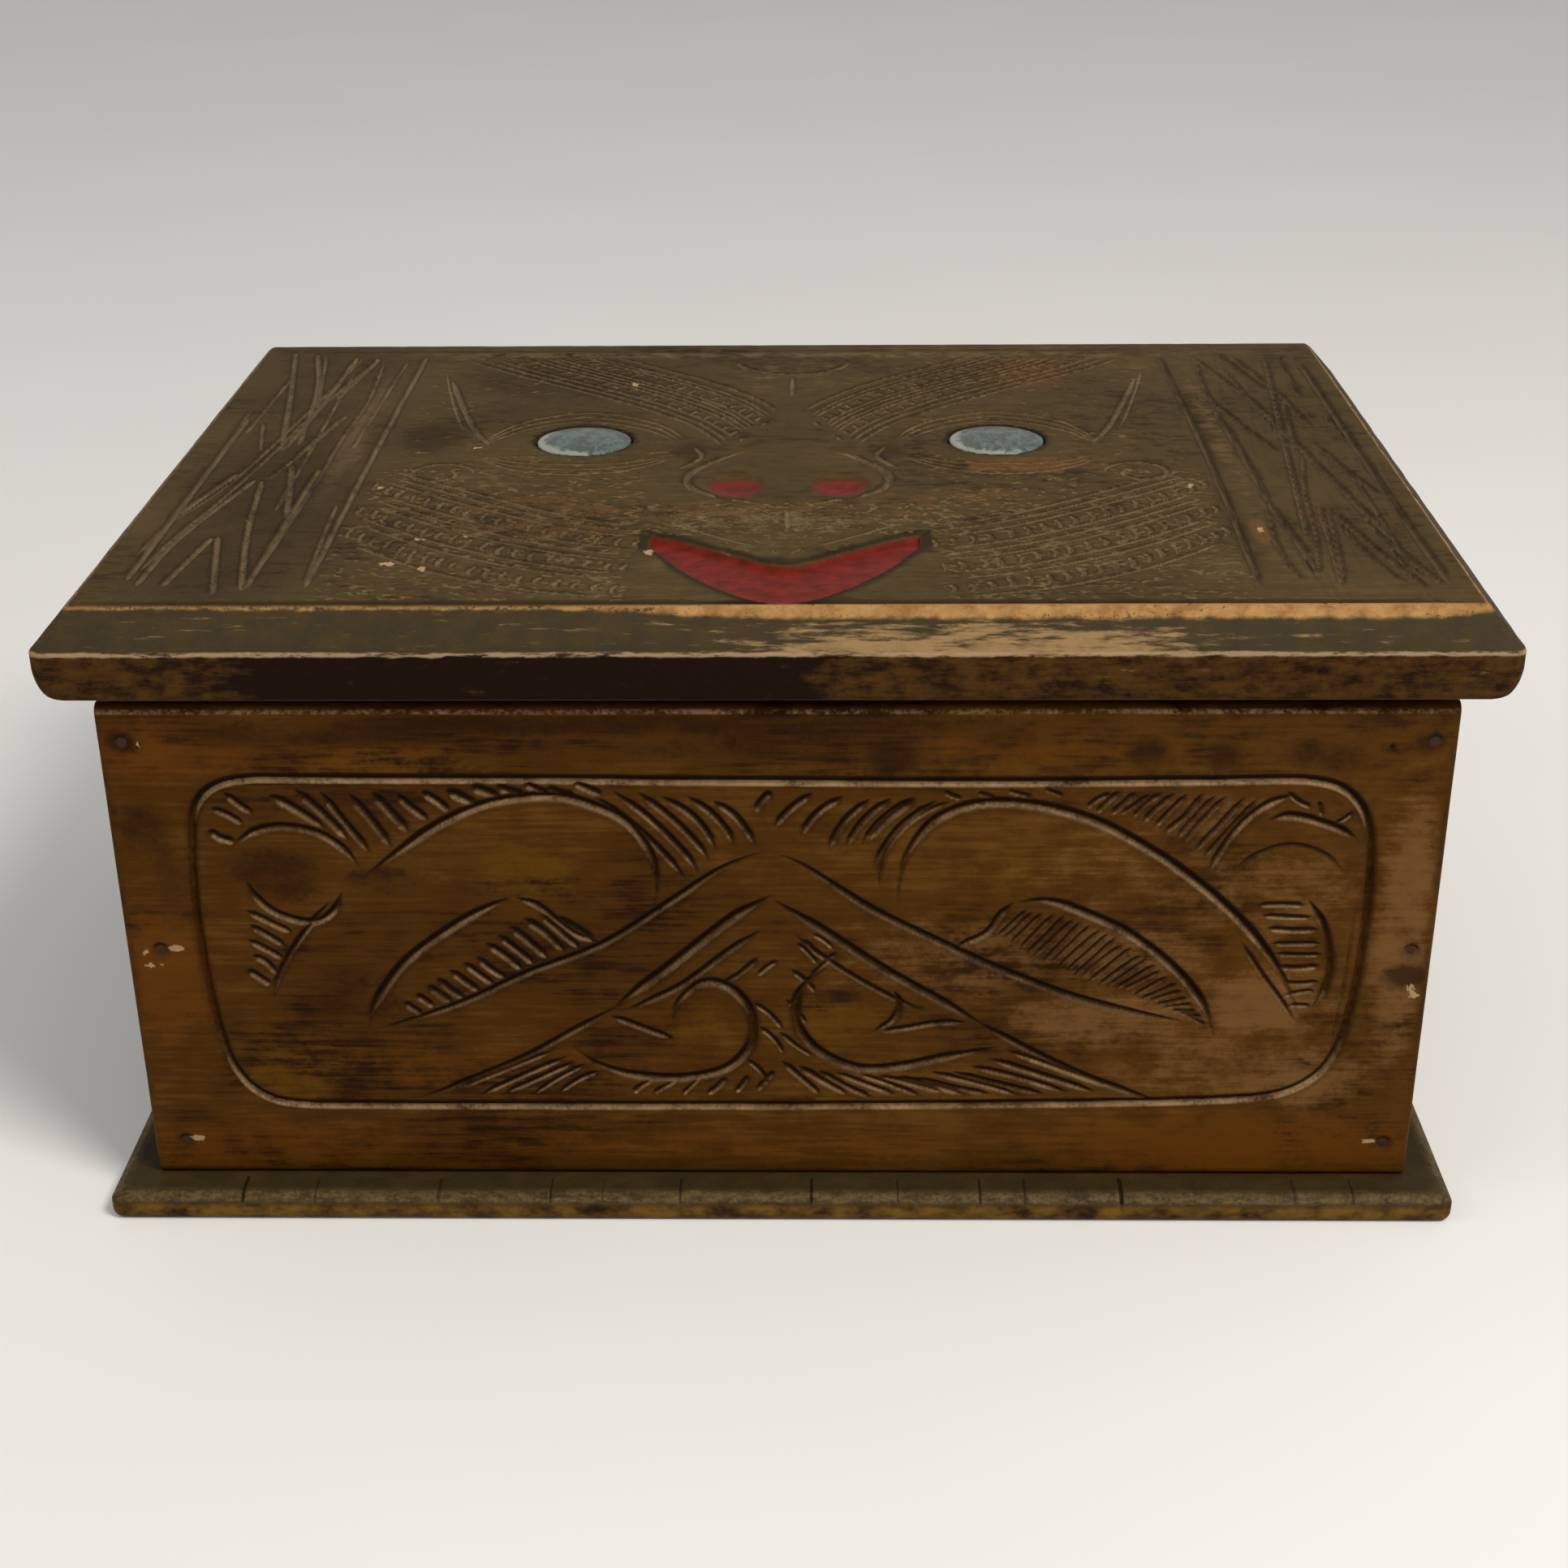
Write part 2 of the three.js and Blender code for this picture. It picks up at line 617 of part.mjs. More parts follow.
const hinges = [
  { name: 'left', x: hingeEndInset - boxLength / 2 },
  { name: 'right', x: boxLength / 2 - hingeEndInset },
];

function leafScrews(x, level, facing) {
  const y = boxDepth - leafWidth / 2;
  return [-1, 1].map((side) => ({ place: new THREE.Vector3(x + (side * screwSpacing) / 2, y, level), facing }));
}

const boxScrews = (hinge) => leafScrews(hinge.x, wallTop - 0.05, 'up');
const lidScrews = (hinge) => leafScrews(hinge.x, lidBottom + 0.05, 'down');
const allBoxScrews = hinges.flatMap(boxScrews);
const allLidScrews = hinges.flatMap(lidScrews);

// The bed that a hinge leaf is let into, open at the back.
function leafBed(hinge, bottom, top) {
  const half = hingeLength / 2 + holeClearance;
  const front = boxDepth - leafWidth - holeClearance;
  return block(hinge.x - half, hinge.x + half, front, boxDepth + 1, bottom, top);
}

// A leaf is a plate with its knuckles curled up behind the box, and a bore for the pin.
function hingeLeaf(hinge, bottom, knuckles, screws) {
  const pitch = (hingeLength + knuckleGap) / 3;
  const start = hinge.x - hingeLength / 2;
  const plateFront = boxDepth - leafWidth;
  const plate = block(start, start + hingeLength, plateFront, boxDepth, bottom, bottom + leafThickness);
  const curls = knuckles.flatMap((item) => {
    const near = start + item * pitch;
    const far = near + pitch - knuckleGap;
    return [
      block(near, far, boxDepth - 1, axisDepth, bottom, bottom + leafThickness),
      rodAlongX(knuckleRadius, near, far, axisDepth, axisHeight, 16),
    ];
  });
  const bore = rodAlongX(pinBoreRadius, start - 1, start + hingeLength + 1, axisDepth, axisHeight, 16);
  return carve(join([plate, ...curls]), [bore, ...holesFor(screwHole, screws)]);
}

// The pin runs through all three knuckles, with a flattened head at each end.
function hingePin() {
  const reach = hingeLength / 2 + knuckleGap;
  const end = reach + pinHeadThickness;
  return turned([
    [0, -end],
    [pinHeadRadius * 0.7, -end],
    [pinHeadRadius, -reach],
    [hingePinRadius, -reach],
    [hingePinRadius, reach],
    [pinHeadRadius, reach],
    [pinHeadRadius * 0.7, end],
    [0, end],
  ], 12).rotateZ(Math.PI / 2);
}

function basePlate() {
  const ring = (level, inset, backInset) => roundedRectangle({
    left: -boxLength / 2 - baseOverhang + inset,
    right: boxLength / 2 + baseOverhang - inset,
    front: -baseOverhang + inset,
    back: boxDepth - backInset,
    radius: baseCornerRadius,
    level,
  });
  const rounding = range(4).map((step) => {
    const angle = (Math.PI / 2) * (1 - step / 3);
    const level = baseUndersideRounding * (1 - Math.sin(angle));
    const inset = baseUndersideRounding * (1 - Math.cos(angle)) * 0.6;
    return ring(level, inset, inset);
  });
  const upper = [
    ring(baseThickness - baseChamferHeight, 0, 0),
    ring(baseThickness, baseChamferWidth, 0),
  ];
  return carve(loft([...rounding, ...upper]), [...baseNotches(), ...holesFor(nailHole, baseNails)]);
}

// Knife cuts across the base's front chamfer, spaced by eye.
function baseNotches() {
  const slope = Math.atan2(baseChamferHeight, baseChamferWidth);
  const face = {
    origin: new THREE.Vector3(0, -baseOverhang, baseThickness - baseChamferHeight),
    across: new THREE.Vector3(1, 0, 0),
    up: new THREE.Vector3(0, Math.cos(slope), Math.sin(slope)),
    scale: new THREE.Vector2(boxLength / carvedFront.length, 1),
  };
  const reach = Math.hypot(baseChamferWidth, baseChamferHeight);
  const places = [-126, -110, -84, -56, -24, 5, 16, 42, 73, 83, 110, 125];
  return places.map((x) => grooveCutter(face, {
    route: [[x, -reach * 0.5], [x, reach * 1.5]],
    width: notchWidth,
    depth: notchDepth,
    steps: 2,
  }));
}

// Cross section of a board that runs along X, its front upper edge rounded over.
function frontBoardRing(x, easing) {
  const roundingSteps = 4;
  const top = wallBottom + frontHeight;
  const arc = range(roundingSteps + 1).map((step) => {
    const angle = (Math.PI / 2) * (1 + step / roundingSteps);
    const y = frontTopRounding * (1 + Math.cos(angle)) + easing;
    const z = top - frontTopRounding * (1 - Math.sin(angle));
    return new THREE.Vector3(x, y, z);
  });
  return [
    new THREE.Vector3(x, easing, wallBottom),
    new THREE.Vector3(x, frontThickness, wallBottom),
    new THREE.Vector3(x, frontThickness, top),
    ...arc,
  ];
}

function frontBoard() {
  const end = boxLength / 2;
  const blank = loft([
    frontBoardRing(-end, frontEndEasing),
    frontBoardRing(-end + frontEndEasing, 0),
    frontBoardRing(end - frontEndEasing, 0),
    frontBoardRing(end, frontEndEasing),
  ]);
  const grooves = frontCarving().map((one) => grooveCutter(frontFace, one));
  const holes = [...holesFor(nailHole, frontNails), ...holesFor(nailHole, baseNails)];
  return carve(blank, [borderCutter(frontFace, frontBorder), ...grooves, ...holes]);
}

function backBoard() {
  const end = boxLength / 2;
  const blank = block(-end, end, boxDepth - backThickness, boxDepth, wallBottom, wallTop);
  const bedBottom = wallTop - leafThickness - holeClearance;
  const beds = hinges.map((hinge) => leafBed(hinge, bedBottom, wallTop + 1));
  const nails = [...holesFor(nailHole, backNails), ...holesFor(nailHole, baseNails)];
  return carve(blank, [...beds, ...nails, ...holesFor(screwHole, allBoxScrews)]);
}

function sideBoard(side) {
  const edges = [side * (boxLength / 2), side * (boxLength / 2 - sideThickness)].sort((a, b) => a - b);
  const front = frontThickness + fitGap;
  const back = boxDepth - backThickness - fitGap;
  const blank = block(edges[0], edges[1], front, back, wallBottom, wallTop);
  const nails = [...frontNails, ...backNails, ...baseNails].filter(({ place }) => place.x * side > 0);
  return carve(blank, holesFor(nailHole, nails));
}

function lidRing(level, endInset, frontInset, backInset, radius) {
  return roundedRectangle({
    left: -boxLength / 2 - lidEndOverhang + endInset,
    right: boxLength / 2 + lidEndOverhang - endInset,
    front: -lidFrontOverhang + frontInset,
    back: boxDepth - backInset,
    radius,
    level: lidBottom + level,
  });
}

// The lid: ends rounded underneath as a quarter ellipse, upright edges, and a bevel all round.
function lidBoard() {
  const roundingSteps = 5;
  const rounding = range(roundingSteps + 1).map((step) => {
    const angle = (Math.PI / 2) * (1 - step / roundingSteps);
    const level = lidEndRoundHeight * (1 - Math.sin(angle));
    const easing = step === 0 ? lidUndersideEasing : 0;
    return lidRing(level, lidEndRoundWidth * (1 - Math.cos(angle)), easing, easing, lidCornerRadius);
  });
  const upper = [
    lidRing(lidEdgeHeight, lidArrisEasing, 0, 0, lidCornerRadius),
    lidRing(lidThickness, lidEndBevel, lidFrontBevel, lidBackBevel, plateauCornerRadius),
  ];
  const bedTop = lidBottom + leafThickness + holeClearance;
  const cutters = [
    ...lidCarving().map((one) => grooveCutter(lidFace, one)),
    mouthCutter(),
    ...[-1, 1].flatMap((side) => [nostrilCutter(side), eyePocket(side)]),
    ...hinges.map((hinge) => leafBed(hinge, lidBottom - 1, bedTop)),
    ...holesFor(screwHole, allLidScrews),
  ];
  return carve(loft([...rounding, ...upper]), cutters);
}

function piece(name, finish, geometry) {
  const mesh = new THREE.Mesh(geometry, new THREE.MeshStandardMaterial(finishes[finish]));
  mesh.name = name;
  return mesh;
}

function fasteners(name, finish, shape, places) {
  return places.map((one, item) => {
    const mesh = piece(`${name}_${item + 1}`, finish, shape());
    mesh.applyMatrix4(fastenerMatrix(one));
    return mesh;
  });
}

function eye(name, side) {
  const mesh = piece(name, 'shell', eyeInlay());
  mesh.position.copy(eyeCentre(side));
  mesh.position.z += holeClearance - eyePocketDepth;
  return mesh;
}

const box = new THREE.Group();
box.name = 'box_body';
box.add(
  piece('base_plate', 'base', basePlate()),
  piece('front_board', 'front', frontBoard()),
  piece('back_board', 'walls', backBoard()),
  piece('left_side_board', 'walls', sideBoard(-1)),
  piece('right_side_board', 'walls', sideBoard(1)),
  ...fasteners('front_nail', 'iron', nail, frontNails),
  ...fasteners('back_nail', 'iron', nail, backNails),
  ...fasteners('base_nail', 'iron', nail, baseNails),
);

const lid = new THREE.Group();
lid.name = 'lid';
lid.add(
  piece('lid_board', 'lid', lidBoard()),
  eye('eye_inlay_left', -1),
  eye('eye_inlay_right', 1),
);

for (const hinge of hinges) {
  const prefix = `hinge_${hinge.name}`;
  const pin = piece(`${prefix}_pin`, 'brass', hingePin());
  pin.position.set(hinge.x, axisDepth, axisHeight);
  box.add(
    piece(`${prefix}_box_leaf`, 'brass', hingeLeaf(hinge, wallTop - leafThickness, [0, 2], boxScrews(hinge))),
    pin,
    ...fasteners(`${prefix}_box_screw`, 'brass', screw, boxScrews(hinge)),
  );
  lid.add(
    piece(`${prefix}_lid_leaf`, 'brass', hingeLeaf(hinge, lidBottom, [1], lidScrews(hinge))),
    ...fasteners(`${prefix}_lid_screw`, 'brass', screw, lidScrews(hinge)),
  );
}

const carvedBox = new THREE.Group();
carvedBox.add(box, lid);
carvedBox.position.y = -middleDepth;

export default carvedBox;
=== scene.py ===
"""A carved wooden box with a hinged lid, built round its packed construction.

The construction gives every size and place. This script makes the carved front and lid, the base,
the walls, the shell eyes, the hinges and the nails as they look, with their finishes.
"""

import math

import bpy
import numpy as np
from bpy.props import FloatProperty, FloatVectorProperty, IntProperty, PointerProperty
from mathutils import Matrix, Vector


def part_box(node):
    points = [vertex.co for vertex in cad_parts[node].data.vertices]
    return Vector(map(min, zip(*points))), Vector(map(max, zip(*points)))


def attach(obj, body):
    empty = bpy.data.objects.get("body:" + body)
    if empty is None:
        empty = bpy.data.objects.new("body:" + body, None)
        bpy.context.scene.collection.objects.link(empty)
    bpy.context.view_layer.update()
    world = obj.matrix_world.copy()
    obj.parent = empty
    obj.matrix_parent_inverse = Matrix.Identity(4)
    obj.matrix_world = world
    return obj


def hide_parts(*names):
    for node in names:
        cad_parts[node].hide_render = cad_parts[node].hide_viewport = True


bl_info = {
    "name": "Carved Box",
    "version": (1, 0, 0),
    "blender": (4, 5, 0),
    "location": "3D View > Sidebar > Carved Box",
    "description": "Makes a carved wooden box with a mask on its hinged lid",
    "category": "Add Mesh",
}

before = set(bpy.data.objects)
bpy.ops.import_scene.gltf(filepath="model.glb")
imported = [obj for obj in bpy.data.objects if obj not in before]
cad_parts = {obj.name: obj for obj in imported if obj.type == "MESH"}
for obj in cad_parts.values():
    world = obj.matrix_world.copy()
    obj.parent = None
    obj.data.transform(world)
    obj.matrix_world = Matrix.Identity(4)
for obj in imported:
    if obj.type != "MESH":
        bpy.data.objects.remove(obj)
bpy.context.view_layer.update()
MM = 0.001


def extent(node):
    """The lowest and highest corners of a node, in mm."""
    low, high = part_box(node)
    return np.array(low) / MM, np.array(high) / MM


def middle_of(node):
    """The middle of a node, in mm."""
    low, high = extent(node)
    return (low + high) / 2


def numbered(kind, count):
    """The names of a count of like nodes."""
    return [f"{kind}_{item}" for item in range(1, count + 1)]


FRONT_LOW, FRONT_HIGH = extent("front_board")
LID_LOW, LID_HIGH = extent("lid_board")
BASE_LOW, BASE_HIGH = extent("base_plate")
BACK_LOW, BACK_HIGH = extent("back_board")
WALL = FRONT_HIGH[1] - FRONT_LOW[1]
EYES = ("eye_inlay_left", "eye_inlay_right")


# Settings

def length(name, text, default, top=100.0):
    return FloatProperty(name=name, description=text, default=default, min=0.0, max=top)


def colour(name, text, default):
    return FloatVectorProperty(
        name=name, description=text, default=default, size=3, min=0.0, max=1.0, subtype="COLOR"
    )


class BoxSizes(bpy.types.PropertyGroup):
    """Sizes of the carving and the edges, in mm."""

    grid: length("Grid", "Spacing of the points on the carved front", 0.4, 5.0)
    lid_grid: length("Lid grid", "Spacing of the points along the lid", 0.5, 5.0)
    lid_grid_deep: length("Lid grid, deep", "Spacing of the points across the lid", 0.62, 5.0)
    triangles: IntProperty(name="Triangles", description="Most triangles on a carved board", default=190000)
    front_rounding: length("Front rounding", "Rounding of the front board's top edge", 2.2)
    edge_easing: length("Edge easing", "Rounding of the boards' ends and edges", 1.0)
    edge_height: length("Edge height", "Upright part of the lid's edge", 11.2)
    front_bevel: length("Front bevel", "Width of the lid's bevel at the front", 5.5)
    back_bevel: length("Back bevel", "Width of the lid's bevel at the back", 5.0)
    end_bevel: length("End bevel", "Width of the lid's bevel at its ends", 8.6)
    end_round_width: length("End round width", "How far the lid's ends draw in underneath", 4.4)
    end_round_height: length("End round height", "Height of the rounding under the lid's ends", 8.0)
    corner_radius: length("Corner radius", "Rounding of the lid's upright corners", 3.4)
    mask_shift: length("Mask shift", "How far the mask sits to the right of the lid's middle", 2.0)
    mouth_depth: length("Mouth depth", "How far the mouth is sunk", 1.6)
    base_chamfer: length("Base chamfer", "Width of the slope on the base's edge", 2.4)
    base_chamfer_height: length("Base chamfer height", "Height of the slope on the base's edge", 1.8)
    base_corner: length("Base corner", "Rounding of the base's upright corners", 2.5)


class BoxColours(bpy.types.PropertyGroup):
    """Colours of the finishes."""

    front_dark: colour("Front dark", "Dark varnish of the front", (0.015, 0.0042, 0.0004))
    front_mid: colour("Front", "Varnish of the front", (0.057, 0.0200, 0.0008))
    # Also laid over the right of the front as a painted sheen.
    front_light: colour("Front light", "Rubbed olive varnish of the front", (0.098, 0.041, 0.0050))
    front_gold: colour("Front gold", "Yellow varnish where it is thick", (0.094, 0.041, 0.0020))
    front_red: colour("Front red", "Red brown varnish near the ends", (0.104, 0.031, 0.0014))
    front_pale: colour("Front pale", "Faded varnish", (0.165, 0.080, 0.026))
    # Also a painted highlight: it lightens the upward-facing ledges of the cuts.
    front_dust_and_highlight: colour("Front dust", "Pale wood and dust on the ledges of the cuts", (0.33, 0.205, 0.100))
    lid_dark: colour("Lid dark", "Dark patches of the lid", (0.026, 0.0135, 0.0040))
    lid_mid: colour("Lid", "Grey brown wood of the lid", (0.064, 0.0395, 0.0125))
    lid_light: colour("Lid light", "Rubbed wood of the lid", (0.100, 0.064, 0.0235))
    lid_dust: colour("Lid dust", "Pale dust in the lid's cuts", (0.175, 0.120, 0.060))
    lid_warm: colour("Lid warm", "Orange brown wood seen through the lid's patina", (0.130, 0.056, 0.016))
    lid_paint: colour("Lid bevel", "Old dark paint on the lid's bevel", (0.038, 0.028, 0.015))
    lid_edge: colour("Lid edge", "Black brown stain of the lid's edge", (0.0095, 0.0026, 0.0006))
    lid_edge_worn: colour("Lid edge, worn", "Olive brown where the stain is rubbed", (0.072, 0.031, 0.0042))
    bare: colour("Bare wood", "Bare wood on the worn edges", (0.44, 0.245, 0.088))
    bare_grey: colour("Bare wood, grey", "Grey worn wood along the lid's lower edge", (0.34, 0.225, 0.125))
    bevel_worn: colour("Bevel, worn", "Tan wood where the bevel's paint is scratched", (0.29, 0.18, 0.080))
    bare_dull: colour("Bare wood, dull", "Bare wood that has darkened", (0.25, 0.115, 0.032))
    chip: colour("Chips", "Pale wood in small fresh chips", (0.42, 0.27, 0.14))
    red: colour("Red", "Red paint of the mouth", (0.175, 0.0115, 0.0060))
    red_dark: colour("Red, dark", "Darkened red paint", (0.085, 0.0065, 0.0035))
    wall: colour("Walls", "Stained wood of the sides and back", (0.060, 0.0225, 0.0022))
    inside: colour("Inside", "Bare wood inside", (0.215, 0.120, 0.052))
    inside_dark: colour("Inside, dark", "Dark grain of the bare wood inside", (0.125, 0.062, 0.024))
    base_top: colour("Base top", "Dark green black top of the base", (0.030, 0.0195, 0.0065))
    base_edge: colour("Base edge", "Rubbed grey edge of the base", (0.150, 0.095, 0.038))
    base_side: colour("Base side", "Brown side of the base", (0.160, 0.080, 0.0100))
    # Painted shade in the notches of the base, and along and under the edges of the cuts.
    painted_shade: colour("Shading", "Black dirt in the notches and under the cuts' edges", (0.0075, 0.0032, 0.0010))
    shell: colour("Shell", "Pale grey blue of the shell", (0.098, 0.140, 0.132))
    shell_dark: colour("Shell, dark", "Green brown depth of the shell", (0.038, 0.042, 0.027))
    # Also a painted highlight on the rim, widest at the lower left.
    shell_light: colour("Shell, light", "Milky rim and bands of the shell", (0.30, 0.315, 0.255))
    brass: colour("Brass", "Dull brass of the hinges", (0.30, 0.185, 0.065))
    brass_dark: colour("Brass, dark", "Tarnished brass", (0.09, 0.055, 0.022))
    iron: colour("Iron", "Dark iron of the nails", (0.028, 0.017, 0.010))
    rust: colour("Rust", "Brown rust on the nails", (0.050, 0.017, 0.006))


class StageSettings(bpy.types.PropertyGroup):
    """The floor, the lamps and the camera."""

    floor: colour("Floor", "Pale floor", (0.80, 0.79, 0.77))
    floor_cloud: colour("Floor cloud", "Slightly darker patches of the floor", (0.70, 0.69, 0.67))
    world: FloatProperty(name="Sky", description="Strength of the sky", default=0.5, min=0.0)
    key: FloatProperty(name="Key lamp", description="Power of the large lamp in watts", default=21.0, min=0.0)
    fill: FloatProperty(name="Fill lamp", description="Power of the side lamp in watts", default=4.0, min=0.0)
    lens: FloatProperty(name="Lens", description="Focal length in mm", default=54.28, min=10.0)


def sizes():
    return bpy.context.scene.carved_box_sizes


def tints():
    return bpy.context.scene.carved_box_colours


# Shader maths

class Wire:
    """A socket of a finish. Arithmetic on it adds Math nodes."""

    def __init__(self, finish, socket):
        self.finish = finish
        self.socket = socket

    def math(self, operation, *others):
        values = dict(enumerate((self, *others)))
        return self.finish.add("ShaderNodeMath", {"operation": operation}, values)

    def __add__(self, other):
        return self.math("ADD", other)

    def __sub__(self, other):
        return self.math("SUBTRACT", other)

    def __mul__(self, other):
        return self.math("MULTIPLY", other)

    def __rsub__(self, other):
        return self.finish.add("ShaderNodeMath", {"operation": "SUBTRACT"}, {0: other, 1: self})

    __radd__ = __add__

    def size(self):
        return self.math("ABSOLUTE")

    def most(self, other):
        return self.math("MAXIMUM", other)

    def step(self, low, high):
        """Rises smoothly from 0 at low to 1 at high, or falls where low is the greater."""
        if low > high:
            return 1 - self.step(high, low)
        return self.finish.add("ShaderNodeMapRange", {"interpolation_type": "SMOOTHSTEP"}, {
            "Value": self, "From Min": low, "From Max": high
        })


class Finish:
    """A material under construction, with short forms for the nodes that it uses. Places are in mm."""

    def __init__(self, name):
        self.material = bpy.data.materials.new(name)
        self.material.use_nodes = True
        self.tree = self.material.node_tree
        self.tree.nodes.clear()
        metres = self.add("ShaderNodeTexCoord", output="Object")
        self.place = self.add("ShaderNodeVectorMath", {"operation": "SCALE"}, {0: metres, "Scale": 1 / MM})
        parts = self.add("ShaderNodeSeparateXYZ", None, {0: self.place}).socket.node.outputs
        self.x, self.y, self.z = (Wire(self, part) for part in parts)
        self.base = None

    def add(self, kind, settings=None, inputs=None, output=0):
        """Adds a node of any kind: its settings first, then the values or links of its sockets."""
        node = self.tree.nodes.new(kind)
        for name, value in (settings or {}).items():
            setattr(node, name, value)
        for name, value in (inputs or {}).items():
            if isinstance(value, Wire):
                self.tree.links.new(value.socket, node.inputs[name])
            else:
                node.inputs[name].default_value = value
        return Wire(self, node.outputs[output]) if node.outputs else None

    def noise(self, pitch, detail=4.0, roughness=0.55, stretch=(1, 1, 1), distortion=0.0):
        """Soft noise round 0.5 whose main features are a pitch apart, in mm, times the stretch."""
        scale = [1 / (pitch * part) for part in stretch]
        vector = self.add("ShaderNodeMapping", None, {"Vector": self.place, "Scale": scale})
        return self.add("ShaderNodeTexNoise", None, {
            "Vector": vector, "Scale": 1.0, "Detail": detail, "Roughness": roughness,
            "Distortion": distortion,
        })

    def held(self, name):
        """A number kept on the piece's points."""
        return self.add("ShaderNodeAttribute", {"attribute_name": name}, output="Fac")

    def blend(self, factor, first, second):
        """Mixes two colours."""
        first, second = (value if isinstance(value, Wire) else (*value, 1.0) for value in (first, second))
        return self.add("ShaderNodeMix", {"data_type": "RGBA"}, {0: factor, 6: first, 7: second}, output=2)

    def three(self, tone, dark, middle, light):
        """A colour that goes from dark through middle to light as the tone goes from 0 to 1."""
        return self.blend(tone.step(0.5, 1.0), self.blend(tone.step(0.0, 0.5), dark, middle), light)

    def coat(self, factor, over):
        """Lays a colour over the finish's own colour."""
        self.base = self.blend(factor, self.base, over)

    def spotted(self, ragged, *layers):
        """Lays colours on in spots with a ragged outline. Each layer gives the name of its spots, which the
        piece's points keep, its strength and its colour."""
        for name, amount, over in layers:
            self.coat((self.held(name) + ragged).step(0.3, 1.0) * amount, over)

    def chips(self, speck):
        """1 in the piece's chips, whose outline follows the specks."""
        return (self.held("chip") + (speck - 0.5) * 0.8).step(0.5, 0.7)

    def bump(self, height, depth):
        """A bump whose height of 1 stands a depth out, in mm."""
        return self.add("ShaderNodeBump", None, {"Height": height, "Distance": depth * MM, "Strength": 1.0})

    def done(self, roughness, normal=None, fixed=None):
        """Puts the shader and the output on, and returns the material."""
        inputs = {"Base Color": self.base, "Roughness": roughness, **(fixed or {})}
        if normal is not None:
            inputs["Normal"] = normal
        shader = self.add("ShaderNodeBsdfPrincipled", None, inputs)
        self.add("ShaderNodeOutputMaterial", None, {"Surface": shader})
        return self.material


# Meshes

def grid_faces(rows, columns, wrap=False):
    """Quads of a grid whose points run row by row. Each quad goes along a row, then up."""
    row, column = np.meshgrid(np.arange(rows if wrap else rows - 1), np.arange(columns - 1), indexing="ij")
    above = (row + 1) % rows
    corners = [
        row * columns + column, row * columns + column + 1,
        above * columns + column + 1, above * columns + column,
    ]
    return np.stack(corners, -1).reshape(-1, 4)


def ring_faces(lower, upper):
    """Quads between two closed loops of point numbers, counterclockwise from above."""
    return np.stack([lower, np.roll(lower, -1), np.roll(upper, -1), upper], -1)


def build(name, points, faces, held=None):
    """A smooth mesh object from points in mm and arrays of faces, each array with one count of corners."""
    mesh = bpy.data.meshes.new(name)
    mesh.vertices.add(len(points))
    mesh.vertices.foreach_set("co", (np.asarray(points, float) * MM).astype(np.float32).ravel())
    corners = np.concatenate([group.ravel() for group in faces]).astype(np.int32)
    totals = np.concatenate([np.full(len(group), group.shape[1]) for group in faces])
    starts = np.concatenate([[0], np.cumsum(totals)[:-1]]).astype(np.int32)
    mesh.loops.add(len(corners))
    mesh.loops.foreach_set("vertex_index", corners)
    mesh.polygons.add(len(totals))
    mesh.polygons.foreach_set("loop_start", starts)
    mesh.polygons.foreach_set("use_smooth", np.ones(len(totals), bool))
    mesh.update(calc_edges=True)
    for key, values in (held or {}).items():
        layer = mesh.attributes.new(key, "FLOAT", "POINT")
        layer.data.foreach_set("value", np.asarray(values, np.float32).ravel())
    piece = bpy.data.objects.new(name, mesh)
    bpy.context.scene.collection.objects.link(piece)
    return piece


def thin(piece, most):
    """Takes out the points that the shape needs least, down to a count of triangles."""
    mesh = piece.data
    count = len(mesh.loops) - 2 * len(mesh.polygons)
    if count > most:
        piece.modifiers.new("thin", "DECIMATE").ratio = most / count
        view = bpy.context.evaluated_depsgraph_get()
        piece.data = bpy.data.meshes.new_from_object(
            piece.evaluated_get(view), preserve_all_data_layers=True, depsgraph=view
        )
        piece.modifiers.clear()
    return piece


def sharpen(piece, angle):
    """Leaves the edges that turn by more than an angle sharp."""
    piece.data.set_sharp_from_angle(angle=math.radians(angle))
    return piece


def dress(piece, body, slot, material, *nodes):
    """Gives a piece its finish, its body and the nodes that it stands for. The slot is not used."""
    piece.data.materials.clear()
    piece.data.materials.append(material)
    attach(piece, body)
    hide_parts(*nodes)


def joined(name, parts):
    """One mesh object from parts, each its points and its arrays of faces."""
    points, faces, count = [], [], 0
    for part_points, part_faces in parts:
        points.append(part_points)
        faces.extend(group + count for group in part_faces)
        count += len(part_points)
    return build(name, np.concatenate(points), faces)


def turned(profile, sides, rough=0.0, seed=0):
    """A closed body turned about Z from a profile of radius and height, which starts and ends on the axis:
    each ring is the profile's radius times the cosine and sine of its angle, a little uneven if rough."""
    profile = np.array(profile, float)
    angles = np.linspace(0, 2 * np.pi, sides, endpoint=False)
    random = np.random.default_rng(seed)
    waves = sum(random.normal(0, 1) * np.cos(turn * angles + random.uniform(0, 6)) for turn in (2, 3, 5))
    uneven = 1 + rough * waves
    rings = profile[1:-1]
    body = np.stack([
        rings[:, :1] * np.cos(angles) * uneven,
        rings[:, :1] * np.sin(angles) * uneven,
        np.broadcast_to(rings[:, 1:], (len(rings), sides)),
    ], -1).reshape(-1, 3)
    points = np.concatenate([[[0, 0, profile[0, 1]]], body, [[0, 0, profile[-1, 1]]]])
    loops = 1 + np.arange(len(rings) * sides).reshape(len(rings), sides)
    first, last = np.zeros(sides, int), np.full(sides, len(points) - 1)
    quads = [ring_faces(low, high) for low, high in zip(loops[:-1], loops[1:])]
    start = np.stack([first, np.roll(loops[0], -1), loops[0]], -1)
    end = np.stack([last, loops[-1], np.roll(loops[-1], -1)], -1)
    return points, [np.concatenate(quads), start, end]


